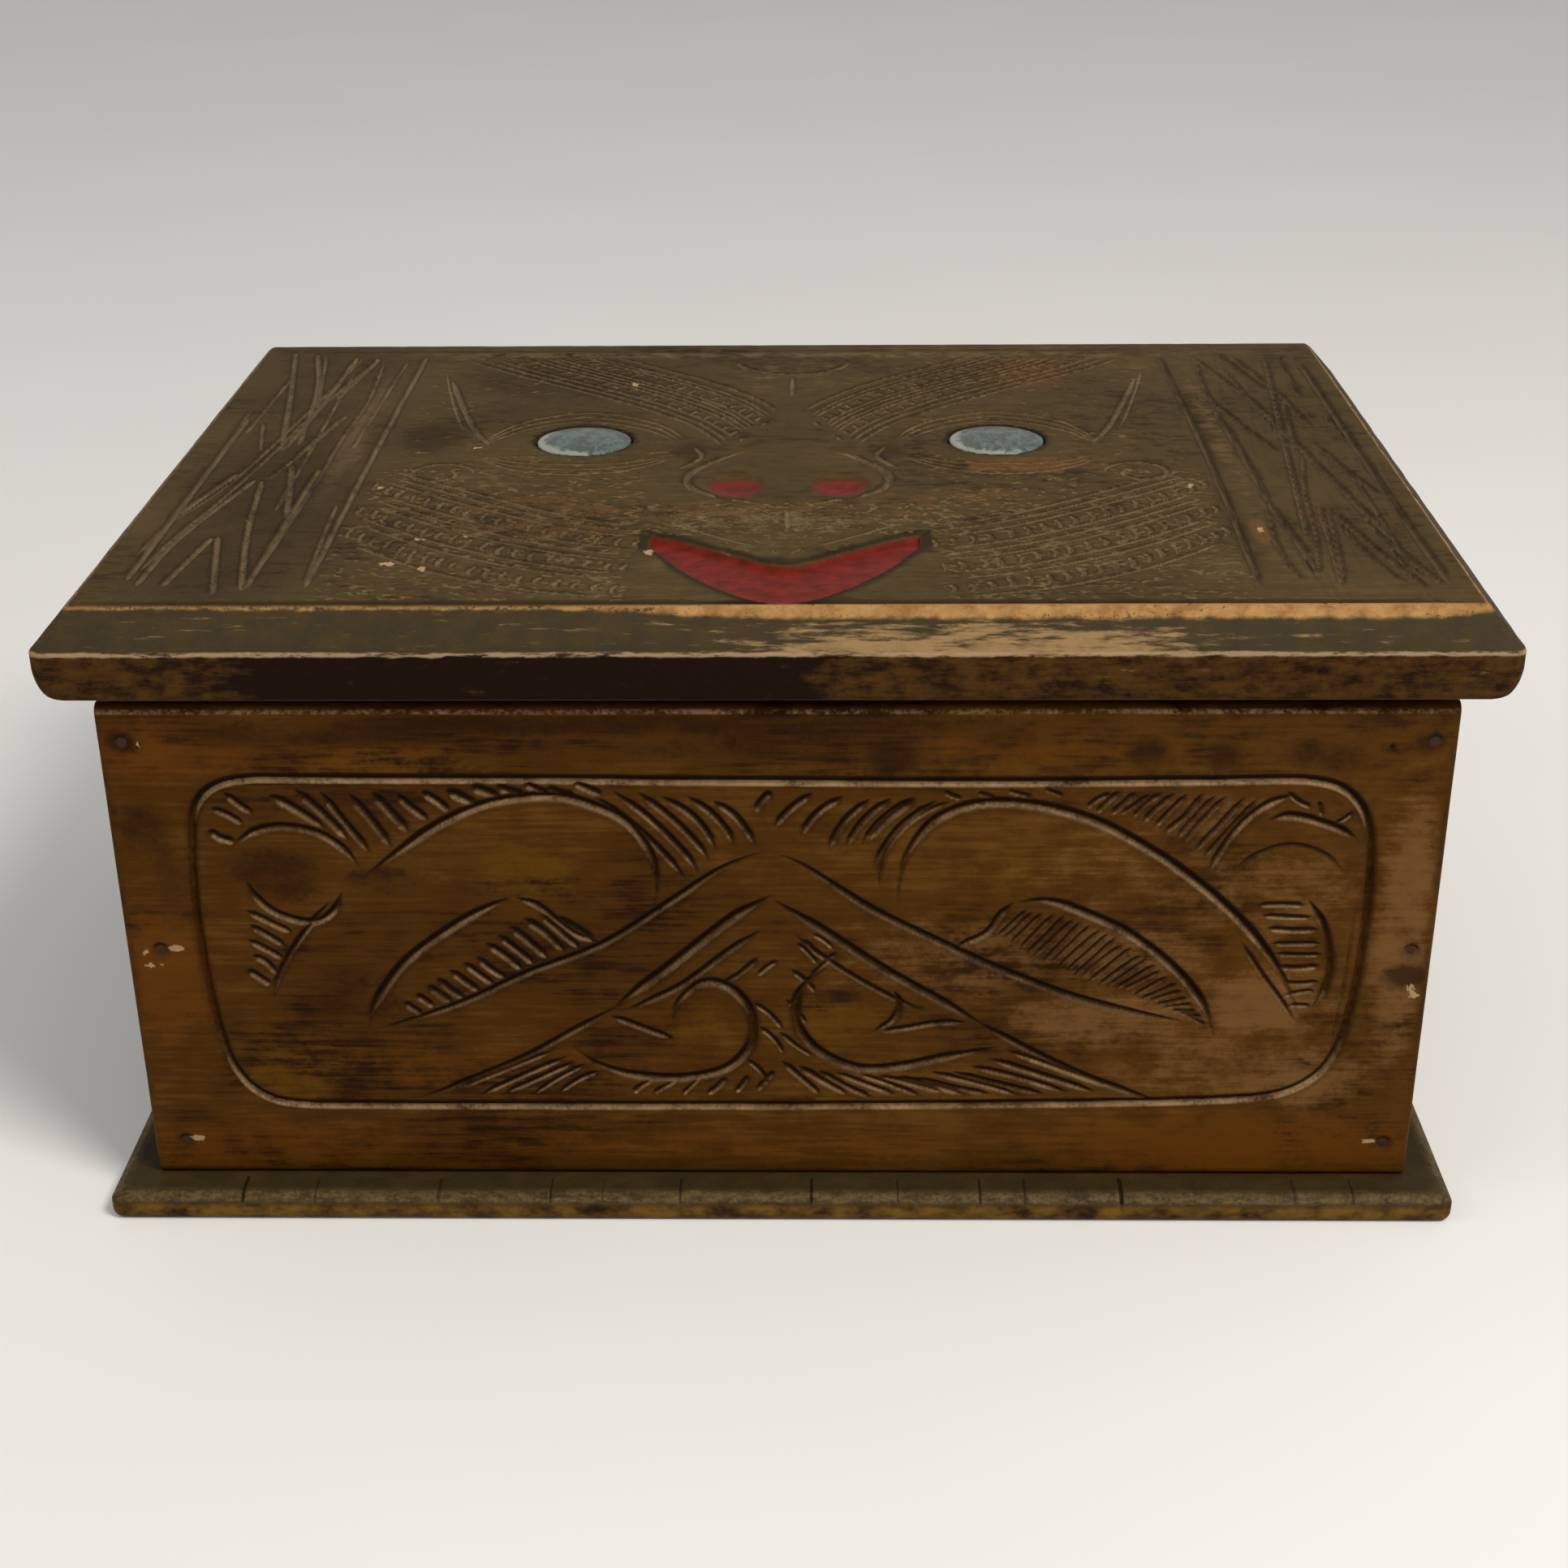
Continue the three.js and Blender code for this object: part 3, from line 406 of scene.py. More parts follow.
def placed(part, matrix):
    """A part with its points turned and moved."""
    points, faces = part
    matrix = np.array(matrix)
    return points @ matrix[:3, :3].T + matrix[:3, 3], faces


def rounded_loop(u, v, low, high, radius, level):
    """A rectangle's edge with its corners rounded. U and v run from 0 to 1 over the rectangle. A point
    that lies within a radius of both sides of a corner is drawn in to the corner's arc."""
    low, high = np.asarray(low, float), np.asarray(high, float)
    square = low + np.stack([u, v], -1) * (high - low)
    core = np.clip(square, low + radius, high - radius)
    off = square - core
    reach = np.maximum(np.linalg.norm(off, axis=1, keepdims=True), 1e-9)
    return np.column_stack([core + off * radius / reach, np.full(len(square), level)])


def stacked(face, rings, upward):
    """Points and faces of a closed slab: a grid for one face, rings that carry its edge on to the other
    face, and one flat face that closes it. The grid is the top where upward, or else the bottom."""
    rows, columns = face.shape[:2]
    number = np.arange(rows * columns).reshape(rows, columns)
    loop = np.concatenate([number[0, :-1], number[:-1, -1], number[-1, :0:-1], number[:0:-1, 0]])
    faces = [grid_faces(rows, columns)[:, ::1 if upward else -1]]
    count = rows * columns
    for ring in rings:
        following = count + np.arange(len(ring))
        faces.append(ring_faces(*((following, loop) if upward else (loop, following))))
        loop, count = following, count + len(ring)
    faces.append((loop[::-1] if upward else loop)[None, :])
    return np.concatenate([face.reshape(-1, 3), *rings]), faces


def edge_shares(columns, rows):
    """Where the points of a grid's edge lie, from 0 to 1 each way, in the order that stacked uses."""
    u = (columns - columns[0]) / (columns[-1] - columns[0])
    v = (rows - rows[0]) / (rows[-1] - rows[0])
    across = np.concatenate([u[:-1], np.ones(len(v) - 1), u[:0:-1], np.zeros(len(v) - 1)])
    up = np.concatenate([np.zeros(len(u) - 1), v[:-1], np.ones(len(u) - 1), v[:0:-1]])
    return across, up


def spaced(*stretches):
    """Places along a line: each stretch gives its start, its end and its spacing."""
    parts = []
    for start, end, spacing in stretches:
        parts.append(np.linspace(start, end, max(1, round((end - start) / spacing)), endpoint=False))
    return np.concatenate([*parts, [stretches[-1][1]]])


def rolling(columns, rows, pitch, seed):
    """Gentle rises and falls from -1 to 1: random heights on a coarse lattice, joined smoothly."""
    across = (columns - columns[0]) / pitch
    up = (rows - rows[0]) / pitch
    heights = np.random.default_rng(seed).uniform(-1, 1, (int(up[-1]) + 2, int(across[-1]) + 2))
    column, row = across.astype(int), up.astype(int)
    column_part, row_part = (part * part * (3 - 2 * part) for part in (across - column, up - row))
    lower, upper = (
        heights[one][:, column] * (1 - column_part) + heights[one][:, column + 1] * column_part
        for one in (row, row + 1)
    )
    return lower * (1 - row_part[:, None]) + upper * row_part[:, None]


def wandering(count, pitch, seed):
    """Random values from 0 to 1 along a row of points, new ones a pitch apart and joined by slopes."""
    knots = np.arange(0, count + pitch, pitch)
    return np.interp(np.arange(count), knots, np.random.default_rng(seed).uniform(0, 1, len(knots)))


# Carving

def smooth_line(route, spacing=1.2):
    """An evenly spaced line through the points of a route: between two points it follows a cubic
    whose slope at each point is half the way from its neighbour before to its neighbour after."""
    knots = np.array(route, float)
    padded = np.concatenate([[2 * knots[0] - knots[1]], knots, [2 * knots[-1] - knots[-2]]])
    place = np.linspace(0, len(knots) - 1, 24 * (len(knots) - 1) + 1)
    start = np.minimum(place.astype(int), len(knots) - 2)
    u = (place - start)[:, None]
    before, near, far, after = (padded[start + item] for item in range(4))
    bend = u * (2 * before - 5 * near + 4 * far - after + u * (3 * (near - far) + after - before))
    line = near + 0.5 * u * (far - before + bend)
    travelled = np.concatenate([[0], np.cumsum(np.linalg.norm(np.diff(line, axis=0), axis=1))])
    stops = np.linspace(0, travelled[-1], max(3, int(travelled[-1] / spacing) + 1))
    return np.stack([np.interp(stops, travelled, line[:, axis]) for axis in range(2)], -1)


def between(first, second, part, count=7):
    """The line that lies a part of the way from one guide line to another."""
    lines = [smooth_line(guide, 0.5) for guide in (first, second)]
    near, far = (line[np.round(np.linspace(0, 1, count) * (len(line) - 1)).astype(int)] for line in lines)
    return near + (far - near) * part


# Width of the painted shade along a cut's edge, in mm.
RIM_WIDTH = 0.55


class Relief:
    """How deep a face is carved, in mm, at each crossing of a grid of columns and rows, with the painted
    shade along its cuts' edges and its dust. Pale says how pale the dust in the next cuts is, from 0 to 1."""

    def __init__(self, columns, rows, seed):
        self.columns = columns
        self.rows = rows
        self.depth = np.zeros((len(rows), len(columns)))
        self.rim = np.zeros_like(self.depth)
        self.dust = np.zeros_like(self.depth)
        self.pale = 1.0
        self.random = np.random.default_rng(seed)

    def window(self, low, high):
        """The part of the grid between two corners, and the places of its points."""
        across = slice(*np.searchsorted(self.columns, (low[0], high[0])))
        up = slice(*np.searchsorted(self.rows, (low[1], high[1])))
        x, y = np.meshgrid(self.columns[across], self.rows[up])
        return (up, across), x, y

    def cut(self, route, width, depth, taper=1.7):
        """A gouge cut. Its section is a softened V, as wide as width. It rises to nothing at both
        ends of the route, the sooner the smaller taper is, unless taper is 0."""
        line = smooth_line(route)
        count = len(line) - 1
        reach = width / 2 + RIM_WIDTH
        for item, (start, end) in enumerate(zip(line[:-1], line[1:])):
            place, x, y = self.window(np.minimum(start, end) - reach, np.maximum(start, end) + reach)
            step = end - start
            along = np.clip(((x - start[0]) * step[0] + (y - start[1]) * step[1]) / (step @ step), 0, 1)
            off = np.hypot(x - start[0] - along * step[0], y - start[1] - along * step[1])
            fullness = np.minimum(1, taper * np.sin(np.pi * (item + along) / count)) if taper else 1.0
            half = 0.5 * width * (0.2 + 0.8 * fullness)
            bite = np.clip(1 - off / half, 0, 1)
            section = 0.6 * bite + 0.4 * bite * bite * (3 - 2 * bite)
            self.dust[place] = np.maximum(self.dust[place], self.pale * np.minimum(1, 2 * fullness * section))
            self.depth[place] = np.maximum(self.depth[place], depth * fullness * section)
            # A line of painted shade along the cut's edge.
            rim = fullness * min(1, depth) * np.clip(1 - np.abs(off - half) / RIM_WIDTH, 0, 1)
            self.rim[place] = np.maximum(self.rim[place], rim)

    def row(self, starts, ends, count, width, depth, jitter=0.35, bulge=0.0):
        """Short cuts whose ends step along two guide lines, each a little off its place. With a bulge, in
        mm, each is a small hook."""
        guides = [smooth_line(guide, 0.5) for guide in (starts, ends)]
        shares = np.linspace(0, 1, count)
        places = [guide[np.round(shares * (len(guide) - 1)).astype(int)] for guide in guides]
        for near, far in zip(*places):
            near, far = (end + self.random.normal(0, jitter, 2) for end in (near, far))
            middle = (near + far) / 2 + self.random.normal(0, jitter, 2)
            middle += bulge * np.array([near[1] - far[1], far[0] - near[0]]) / np.hypot(*(far - near))
            self.cut([near, middle, far], width * self.random.uniform(0.85, 1.15), depth)

    def marks(self, low, high, count, reach, width, depth, heading=(0.0, np.pi)):
        """Small tool marks scattered over a rectangle, each turned by an angle between two headings."""
        for place in self.random.uniform(low, high, (count, 2)):
            angle = self.random.uniform(*heading)
            half = 0.5 * reach * self.random.uniform(0.6, 1.4) * np.array([np.cos(angle), np.sin(angle)])
            self.cut([place - half, place, place + half], width, depth * self.random.uniform(0.6, 1.2))

    def dish(self, centre, radii, depth):
        """An oval hollow, round in section."""
        centre, radii = np.array(centre, float), np.array(radii, float)
        place, x, y = self.window(centre - radii, centre + radii)
        off = np.hypot((x - centre[0]) / radii[0], (y - centre[1]) / radii[1])
        self.depth[place] = np.maximum(self.depth[place], depth * np.sqrt(np.clip(1 - off * off, 0, 1)))
        self.dust[place] *= off > 1

    def well(self, centre, radius, depth):
        """A round hole with a flat floor, with a ring of painted shade round its edge."""
        centre = np.array(centre, float)
        place, x, y = self.window(centre - radius - 1, centre + radius + 1)
        off = np.hypot(x - centre[0], y - centre[1])
        self.depth[place] = np.maximum(self.depth[place], depth * np.clip((radius - off) / 0.5 + 0.5, 0, 1))
        self.rim[place] = np.maximum(self.rim[place], np.clip(1.2 - np.abs(off - radius - 0.2), 0, 1))


def patches(x, y, spots):
    """Soft oval patches. Each spot gives its middle, its two radii and its strength, which it keeps up to
    half its radii and loses at one and a half."""
    cover = np.zeros(x.shape)
    for across, up, wide, high, strength in spots:
        off = np.hypot((x - across) / wide, (y - up) / high)
        cover = np.maximum(cover, strength * np.clip(1.5 - off, 0, 1))
    return cover


# Stains and wear of the front, from the middle of the board's lower edge, in mm.
FRONT_SPOTS = {
    "stain": [
        (-45, 121, 70, 3.4, 0.8), (-16, 115, 30, 4, 0.6), (-104, 119, 40, 4, 0.75), (-112, 112, 12, 4, 0.5),
        (2, 118, 24, 3, 0.7), (28, 121, 40, 3.4, 0.6), (27, 113, 7, 5, 0.8), (52, 118, 9, 4, 0.6),
        (84, 114, 5, 4, 0.9), (101, 113, 5, 4, 0.8), (120, 114, 5, 4, 0.7), (128, 112, 7, 4, 0.7),
        (146, 116, 3, 3, 0.8), (-148, 117, 4, 4, 0.9), (-146, 95, 7, 8, 0.8), (-141, 82, 5, 14, 0.6),
        (-115, 83, 15, 9, 0.75), (-100, 51, 17, 9, 0.6), (-91, 81, 14, 5, 0.7), (-80, 90, 24, 7, 0.4),
        (148, 56, 6, 4, 1), (132, 96, 8, 8, 0.5), (-153, 70, 2, 60, 0.6), (153, 70, 2, 60, 0.6),
        (62, 54, 14, 4, 0.4), (-10, 3, 100, 2.4, 0.5), (-30, 60, 10, 8, 0.4), (-60, 112, 30, 4, 0.4),
    ],
    "warm": [
        (-142, 115, 15, 8, 0.85), (-145, 57, 12, 22, 0.95), (-128, 8, 40, 8, 0.7), (110, 9, 50, 9, 0.9),
        (-10, 8, 60, 6, 0.6), (-104, 112, 44, 7, 0.55), (-120, 78, 12, 8, 0.6), (-75, 32, 40, 10, 0.5),
        (60, 116, 40, 5, 0.5), (-40, 100, 30, 5, 0.3),
    ],
    "gold": [
        (-89, 111, 34, 4, 0.7), (-58, 84, 14, 8, 0.8), (-118, 30, 16, 12, 0.6), (13, 43, 14, 9, 0.7),
        (60, 109, 70, 4, 0.5), (-40, 20, 50, 12, 0.4), (-18, 42, 10, 9, 0.6), (50, 84, 16, 9, 0.5),
    ],
    "pale": [
        (114, 48, 18, 10, 0.9), (146, 68, 7, 36, 0.9), (116, 78, 24, 12, 0.6), (80, 84, 30, 14, 0.4),
        (44, 60, 34, 12, 0.55), (110, 30, 30, 10, 0.6), (96, 40, 22, 8, 0.6), (90, 98, 30, 7, 0.5),
        (78, 44, 22, 8, 0.85), (80, 62, 24, 9, 0.7), (124, 27, 18, 9, 0.8),
    ],
    "chip": [
        (-149.4, 62.4, 1.5, 0.9, 1), (-141.8, 63.2, 2.2, 1.0, 1), (-147.6, 58.6, 3.0, 0.7, 1),
        (-143.6, 116, 1.6, 1.0, 1), (-142.6, 9.8, 2.6, 0.8, 1), (143.6, 9.6, 2.2, 0.7, 1),
        (149.6, 53, 2.6, 0.8, 1), (150.5, 50.6, 1.6, 0.7, 1),
    ],
}

# The same for the lid, from the middle of the front edge of its flat top.
LID_SPOTS = {
    "stain": [
        (0, 1.8, 170, 1.5, 1.8), (-131, 70, 26, 100, 0.7), (131, 110, 26, 120, 0.4), (-131, 180, 26, 60, 0.6),
        (-62, 178, 40, 28, 0.8), (62, 178, 34, 26, 0.5), (0, 140, 16, 30, 0.4),
        (-96, 124, 9, 15, 1), (-60, 158, 44, 34, 0.55), (-126, 40, 26, 50, 0.3), (-140, 160, 20, 60, 0.35),
        (108, 60, 5, 60, 0.55), (136, 150, 20, 50, 0.35), (-26, 112, 5, 9, 0.8), (26, 112, 5, 9, 0.8),
        (0, 100, 12, 12, 0.45), (-104, 30, 10, 24, 0.3), (0, 76, 8, 7, 0.6), (-55, 122, 21, 19, 0.55),
        (55, 122, 21, 19, 0.45),
    ],
    "warm": [
        (62, 100, 19, 7, 1), (68, 185, 14, 18, 0.9), (-60, 60, 34, 22, 0.55), (-8, 62, 40, 12, 0.5),
        (20, 64, 26, 12, 0.4), (113, 48, 2.2, 9, 1.3), (114, 130, 5, 70, 0.45), (-117, 132, 5, 72, 0.5),
        (128, 60, 4, 14, 0.6), (40, 74, 24, 8, 0.5),
    ],
    "pale": [
        (-117, 130, 4, 72, 0.7), (114, 120, 3, 66, 0.5), (-114, 109, 1.6, 7, 1), (0, 57, 36, 9, 0.5),
        (0, 207, 150, 4, 0.6), (0, 185, 26, 18, 0.35), (-80, 84, 26, 9, 0.3),
    ],
    "chip": [
        (-155, 51.5, 1.7, 1.4, 1), (-45, 176.5, 1.2, 1.8, 1), (-83, 115.5, 1.1, 1.4, 0.9),
        (-103, 82.5, 1.0, 1.4, 0.9), (-92, 27.5, 2.4, 1.3, 1), (-84, 24.5, 1.5, 1.0, 1),
        (-87, 44.5, 1.4, 1.3, 0.9), (101.5, 83.5, 1.0, 1.2, 0.9), (-32.5, 35, 1.8, 2.0, 1),
        (-8, 15, 1.0, 1.2, 1), (113.4, 50, 1.1, 3.0, 0.7), (-76, 47, 1.2, 1.0, 0.8),
    ],
}


def carve_front(relief):
    """The scrolls, leaves and flutes of the front, from the middle of the board's lower edge. Each cut has
    its route, its width and its depth, and each row its two guide lines and its count before those."""
    cut, row = relief.cut, relief.row
    # border
    cut([(-60, 107.2), (-100, 107.3), (-112, 107.4), (-119.5, 107.4), (-126, 106.3), (-130.8, 103.4),
         (-133.6, 98.6), (-134.8, 91.5), (-135.8, 78), (-135.6, 60), (-134.6, 47), (-133.4, 38),
         (-131.6, 30.6), (-128, 24.6), (-122.6, 20.9), (-115, 19.6), (-104, 19.4), (-60, 19.3), (0, 19.4),
         (60, 20), (96, 20.8), (108, 21.4), (117, 22.2), (124.5, 24.6), (130.4, 29.4), (133.8, 36.5),
         (135.6, 46), (136.8, 58), (137.2, 72), (137, 84), (136, 93), (133.4, 100), (128.6, 104.8),
         (121.5, 106.8), (112, 107), (98, 106.8), (60, 106.4), (0, 106.6), (-62, 107.2)], 3.1, 1.4, taper=0)
    cut([(134.4, 77), (133.6, 55), (131.6, 33)], 1.4, 0.5)
    # arms and chevrons
    relief.pale = 0.42
    cut([(-0.5, 89.5), (-12, 84.6), (-24.3, 75.6), (-40.7, 64.2), (-59, 56.3), (-76, 47.7), (-98, 40)],
        2.9, 1.5)
    cut([(-2, 88.6), (5.7, 85.6), (20, 75), (34, 67), (55, 56.3), (75, 48.4), (100, 42.4)], 2.9, 1.5)
    cut([(-0.5, 77.6), (-10.7, 70.6), (-26.4, 57), (-39.6, 46.3)], 4.0, 1.9)
    cut([(-36, 48.5), (-48, 41), (-61.6, 32.7), (-78, 25), (-88, 21)], 2.6, 1.1)
    cut([(-1.5, 76.6), (12, 67), (25.7, 57), (39.3, 48.4), (50, 41.6)], 3.4, 1.7)
    cut([(46, 44), (62.3, 34), (76.6, 26.6), (92, 20.8)], 2.8, 1.2)
    cut([(-2.5, 68.8), (-10.7, 62.7), (-23, 52.7), (-37, 45.6)], 2.8, 1.3)
    cut([(-4, 61), (-8.6, 56.3), (-13.5, 53)], 2.2, 1.0)
    cut([(3, 68), (12, 60), (26, 50.5), (36, 45.6)], 2.2, 0.9)
    # left lobe and its leaf
    relief.pale = 0.6
    cut([(-97.3, 80.6), (-86.6, 89), (-76, 96.3), (-64.4, 101.3), (-50.7, 102.7), (-40.7, 99.9),
         (-33.6, 95.6), (-28.6, 87), (-27.8, 79), (-29.6, 71.5)], 3.6, 1.7)
    cut([(-98.6, 39.6), (-95.9, 47.7), (-88, 59), (-77.3, 67.7), (-67.3, 74), (-60.6, 77)], 3.4, 1.6)
    cut([(-61.4, 76.8), (-56, 74.6), (-51.6, 70.6), (-47, 66.6), (-41, 64.6)], 2.8, 1.3)
    row([(-89, 48), (-83, 52.6), (-77.5, 57), (-71.4, 61.4), (-64.4, 68), (-57.4, 72.4), (-53, 72)],
        [(-85, 45), (-77.5, 47.8), (-69.3, 51.8), (-61, 56.1), (-51, 60.8), (-44.6, 63.6), (-42.4, 65)],
        13, 3.3, 1.1)
    # left knob
    cut([(-126, 90), (-120, 93.8), (-113.7, 95), (-106, 93.6), (-100, 89.4), (-96, 84)], 3.0, 1.4)
    cut([(-124, 82.6), (-121.5, 76.6), (-116.5, 72), (-108.7, 70), (-103.7, 73), (-100.6, 79)], 3.0, 1.4)
    cut([(-103.4, 76.3), (-108.7, 70.2), (-114.6, 62), (-118.6, 54.6), (-120.6, 48)], 2.4, 1.1)
    row([(-124, 73.5), (-124.4, 66), (-125.4, 57)], [(-113.6, 66.4), (-116.4, 60.6), (-120, 53)], 5, 3.0, 1.2)
    # top row, left to right
    row([(-130.6, 94), (-129.6, 99.4), (-126, 104)], [(-124.6, 91), (-122.6, 95), (-119.6, 98.6)],
        3, 3.0, 1.2)
    row([(-116, 104), (-104, 104.4), (-88, 104), (-68, 105), (-46, 106)],
        [(-103, 94), (-92, 87.6), (-79, 97), (-62, 102.4), (-40, 103)], 13, 3.5, 1.3)
    relief.pale = 0.5
    for route in (
        [(-42.3, 103.7), (-31.8, 94.6), (-24.8, 86.8), (-20.4, 80.6)],
        [(-37.6, 104.6), (-28.7, 97), (-20.6, 87.6), (-17.4, 82)],
        [(-32, 104.4), (-24, 97.4), (-17.6, 90), (-15, 85.4)],
        [(-26.3, 103), (-19.6, 98.4), (-15.8, 93.5), (-13.6, 88.4)],
        [(-20.4, 103), (-14.6, 98.4), (-11, 93.6), (-9.4, 89.6)],
        [(-14.6, 101.8), (-9.1, 97.6), (-4.4, 90.2)], [(-0.6, 104.2), (-3, 101.6), (-4.6, 98.6)],
        [(8.8, 103.8), (3.4, 99.4), (-0.6, 94.6)],
        [(15.9, 103), (9.6, 98.4), (5.4, 92.2)], [(22, 102.4), (15.9, 96.4), (11.6, 88.2)],
        [(27, 102.6), (20.6, 97), (15.6, 89)], [(32.3, 102.9), (24.5, 96.8), (19.4, 89.6)],
        [(37.4, 102.2), (28.4, 94.6), (21.8, 83.6)],
    ):
        cut(route, 2.8, 1.25)
    cut([(32.6, 102.4), (25.6, 96.8), (20.4, 90.4)], 3.4, 1.5)
    row([(38, 104), (60, 104.4)], [(43, 102), (66, 102.4)], 4, 2.0, 0.7)
    row([(76, 104), (94, 103.6), (110, 103)], [(70.6, 99.4), (84, 95.4), (97.4, 86)], 12, 2.4, 0.9)
    # right lobe and its leaf
    relief.pale = 0.6
    cut([(28.2, 70.6), (28.2, 78), (30, 87), (36, 96), (45, 100.5), (57, 100.8), (71.6, 97), (84.4, 90),
         (97.3, 80.6), (109.4, 69), (118.7, 56.3), (124.8, 42)], 3.6, 1.7)
    cut([(23.6, 77.6), (24.6, 87), (29.6, 95), (36, 99.8), (42, 102)], 2.2, 0.9)
    cut([(108, 66), (114.4, 56), (119.4, 49), (123.4, 42.6)], 2.0, 0.8)
    cut([(54.4, 75.2), (63, 75.8), (73, 72), (83, 66.6), (93.7, 57.4), (101, 47.6), (104.6, 37.4)], 3.4, 1.6)
    cut([(55.4, 75.6), (52.3, 72), (49, 67), (41.6, 63.3)], 2.8, 1.3)
    relief.pale = 0.38
    row([(58, 73.6), (70, 71.6), (83, 64.4), (94, 54.6), (102.4, 42)],
        [(51, 65.8), (60, 60), (72, 54), (85, 49.4), (97, 45)], 25, 1.9, 0.85, 0.25)
    relief.pale = 0.6
    # right knob and crescent
    cut([(119, 103.6), (112, 100.6), (106, 95), (102, 88), (99, 81)], 3.0, 1.4)
    cut([(112, 96.6), (118, 97.8), (126.6, 95.4), (133.4, 92)], 3.0, 1.4)
    relief.pale = 0.3
    cut([(104, 82), (110, 87.6), (118, 90.4), (126, 88), (132, 82)], 2.2, 0.6)
    relief.pale = 0.6
    row([(116, 103.6), (132, 99)], [(122, 99.6), (127, 95.6)], 3, 2.0, 0.8)
    cut([(122.8, 77), (127.6, 69), (130, 59), (129, 51.6), (126, 45.6)], 2.8, 1.3)
    row([(111, 75), (114.6, 66), (118, 56), (121, 47.6)], [(123.6, 74.4), (128, 66), (128.4, 57), (126, 48)],
        9, 2.1, 0.85, 0.25)
    relief.pale = 0.5
    # scrolls
    cut([(-49.6, 36), (-42, 30.4), (-33.6, 27.7), (-22, 27.2), (-12, 30), (-6.4, 37), (-6.4, 45.4), (-11, 52),
         (-17.4, 53.6), (-23, 49), (-25.2, 43), (-24, 38.4)], 3.6, 1.7)
    cut([(-40.4, 44.8), (-34.3, 42.2), (-29.3, 40), (-24.4, 38.2)], 2.6, 1.2)
    cut([(14.4, 58.8), (8.6, 55.6), (4.6, 49), (5, 41.4), (10, 34.6), (19, 30), (29, 30.4), (40, 33),
         (54.4, 36.4)], 3.6, 1.7)
    cut([(27.6, 52), (29, 47.6), (27, 43), (22.6, 40)], 2.6, 1.2)
    cut([(22.8, 40.2), (30.7, 41.3), (38, 42.7), (46, 43)], 2.4, 1.1)
    # foot row
    relief.pale = 0.6
    row([(0, 31.6), (16.4, 28.8), (34, 28.6), (47, 31.4), (54, 35)],
        [(11, 21.6), (28, 22), (50, 22.2), (68, 22.6), (83, 23.6)], 13, 2.6, 1.1)
    row([(-52, 36.2), (-48, 32.6), (-43, 29.4)], [(-80, 22.2), (-66, 22), (-54, 22.2)], 5, 2.1, 0.9)
    row([(-30, 27), (-14, 27.6), (-0.6, 29)], [(-36, 22.2), (-20, 22.4), (-5, 22.8)], 6, 2.3, 0.9)
    row([(6.4, 65.6), (2, 52), (0.4, 40.6)], [(13, 60), (8, 46), (8.6, 33.6)], 4, 2.2, 0.9)
    for route in (
        [(4.6, 64.8), (7.4, 62), (9.8, 58.6)], [(14.4, 62.6), (11, 58.8), (7.4, 55)],
        [(0.4, 60), (-2.4, 58), (-4.8, 55.4)], [(8, 67.2), (11, 65.4), (13.6, 62.8)],
        [(-6, 48.6), (-1.6, 45), (1.6, 40.6)], [(-4.6, 42), (-0.6, 38), (1.6, 33.6)],
        [(-8, 33), (-4, 29), (-2, 24.6)],
    ):
        cut(route, 2.0, 0.9)


# Angles between which tool marks turn, along the lid and across it.
ALONG = (-0.6, 0.6)
ACROSS = (1.42, 1.72)

# The mask's guide lines, from the middle of the front edge of the lid's flat top, for its right half.
BROW_TOP = [(56, 208), (40, 193.5), (24, 178.5), (11, 162.5), (2.5, 146.5)]
BROW_FOOT = [(100, 206), (83, 188.5), (62, 171), (42, 153), (27, 136), (16, 114)]
CHEEK_TOP = [(33, 53), (52, 60), (78, 78), (104, 98)]
CHEEK_FOOT = [(38, 5), (62, 12), (85, 25), (104, 42)]
MOUTH_UPPER = [(0, 26), (4, 27), (12, 33), (24, 42), (31.5, 46.5)]
MOUTH_LOWER = [(0, 1.6), (6, 3.4), (12, 8.3), (18, 15), (24, 23.4), (31.5, 38)]
MOUTH_REACH = 32
HOOK_SHARE = 0.066
NOSTRIL = (13.2, 84)
NOSTRIL_RADII = (7.4, 9.8)
PAINT_RADII = (8.4, 8.0)


def mouth_inside(x, y):
    """How far a place lies inside the mouth's crescent, in mm: the least of the distances from its upper
    line, its lower line and its two ends."""
    across = np.abs(x)
    upper, lower = (np.interp(across, *smooth_line(line, 0.5).T) for line in (MOUTH_UPPER, MOUTH_LOWER))
    return np.minimum(np.minimum(upper - y, y - lower) * 0.75, MOUTH_REACH - across)


def nostril_cover(x, y):
    """1 in the middle of a nostril's paint, falling to 0 at its ragged edge."""
    off = np.hypot((np.abs(x) - NOSTRIL[0]) / PAINT_RADII[0], (y - NOSTRIL[1]) / PAINT_RADII[1])
    return np.clip(1.45 - 1.2 * off, 0, 1)


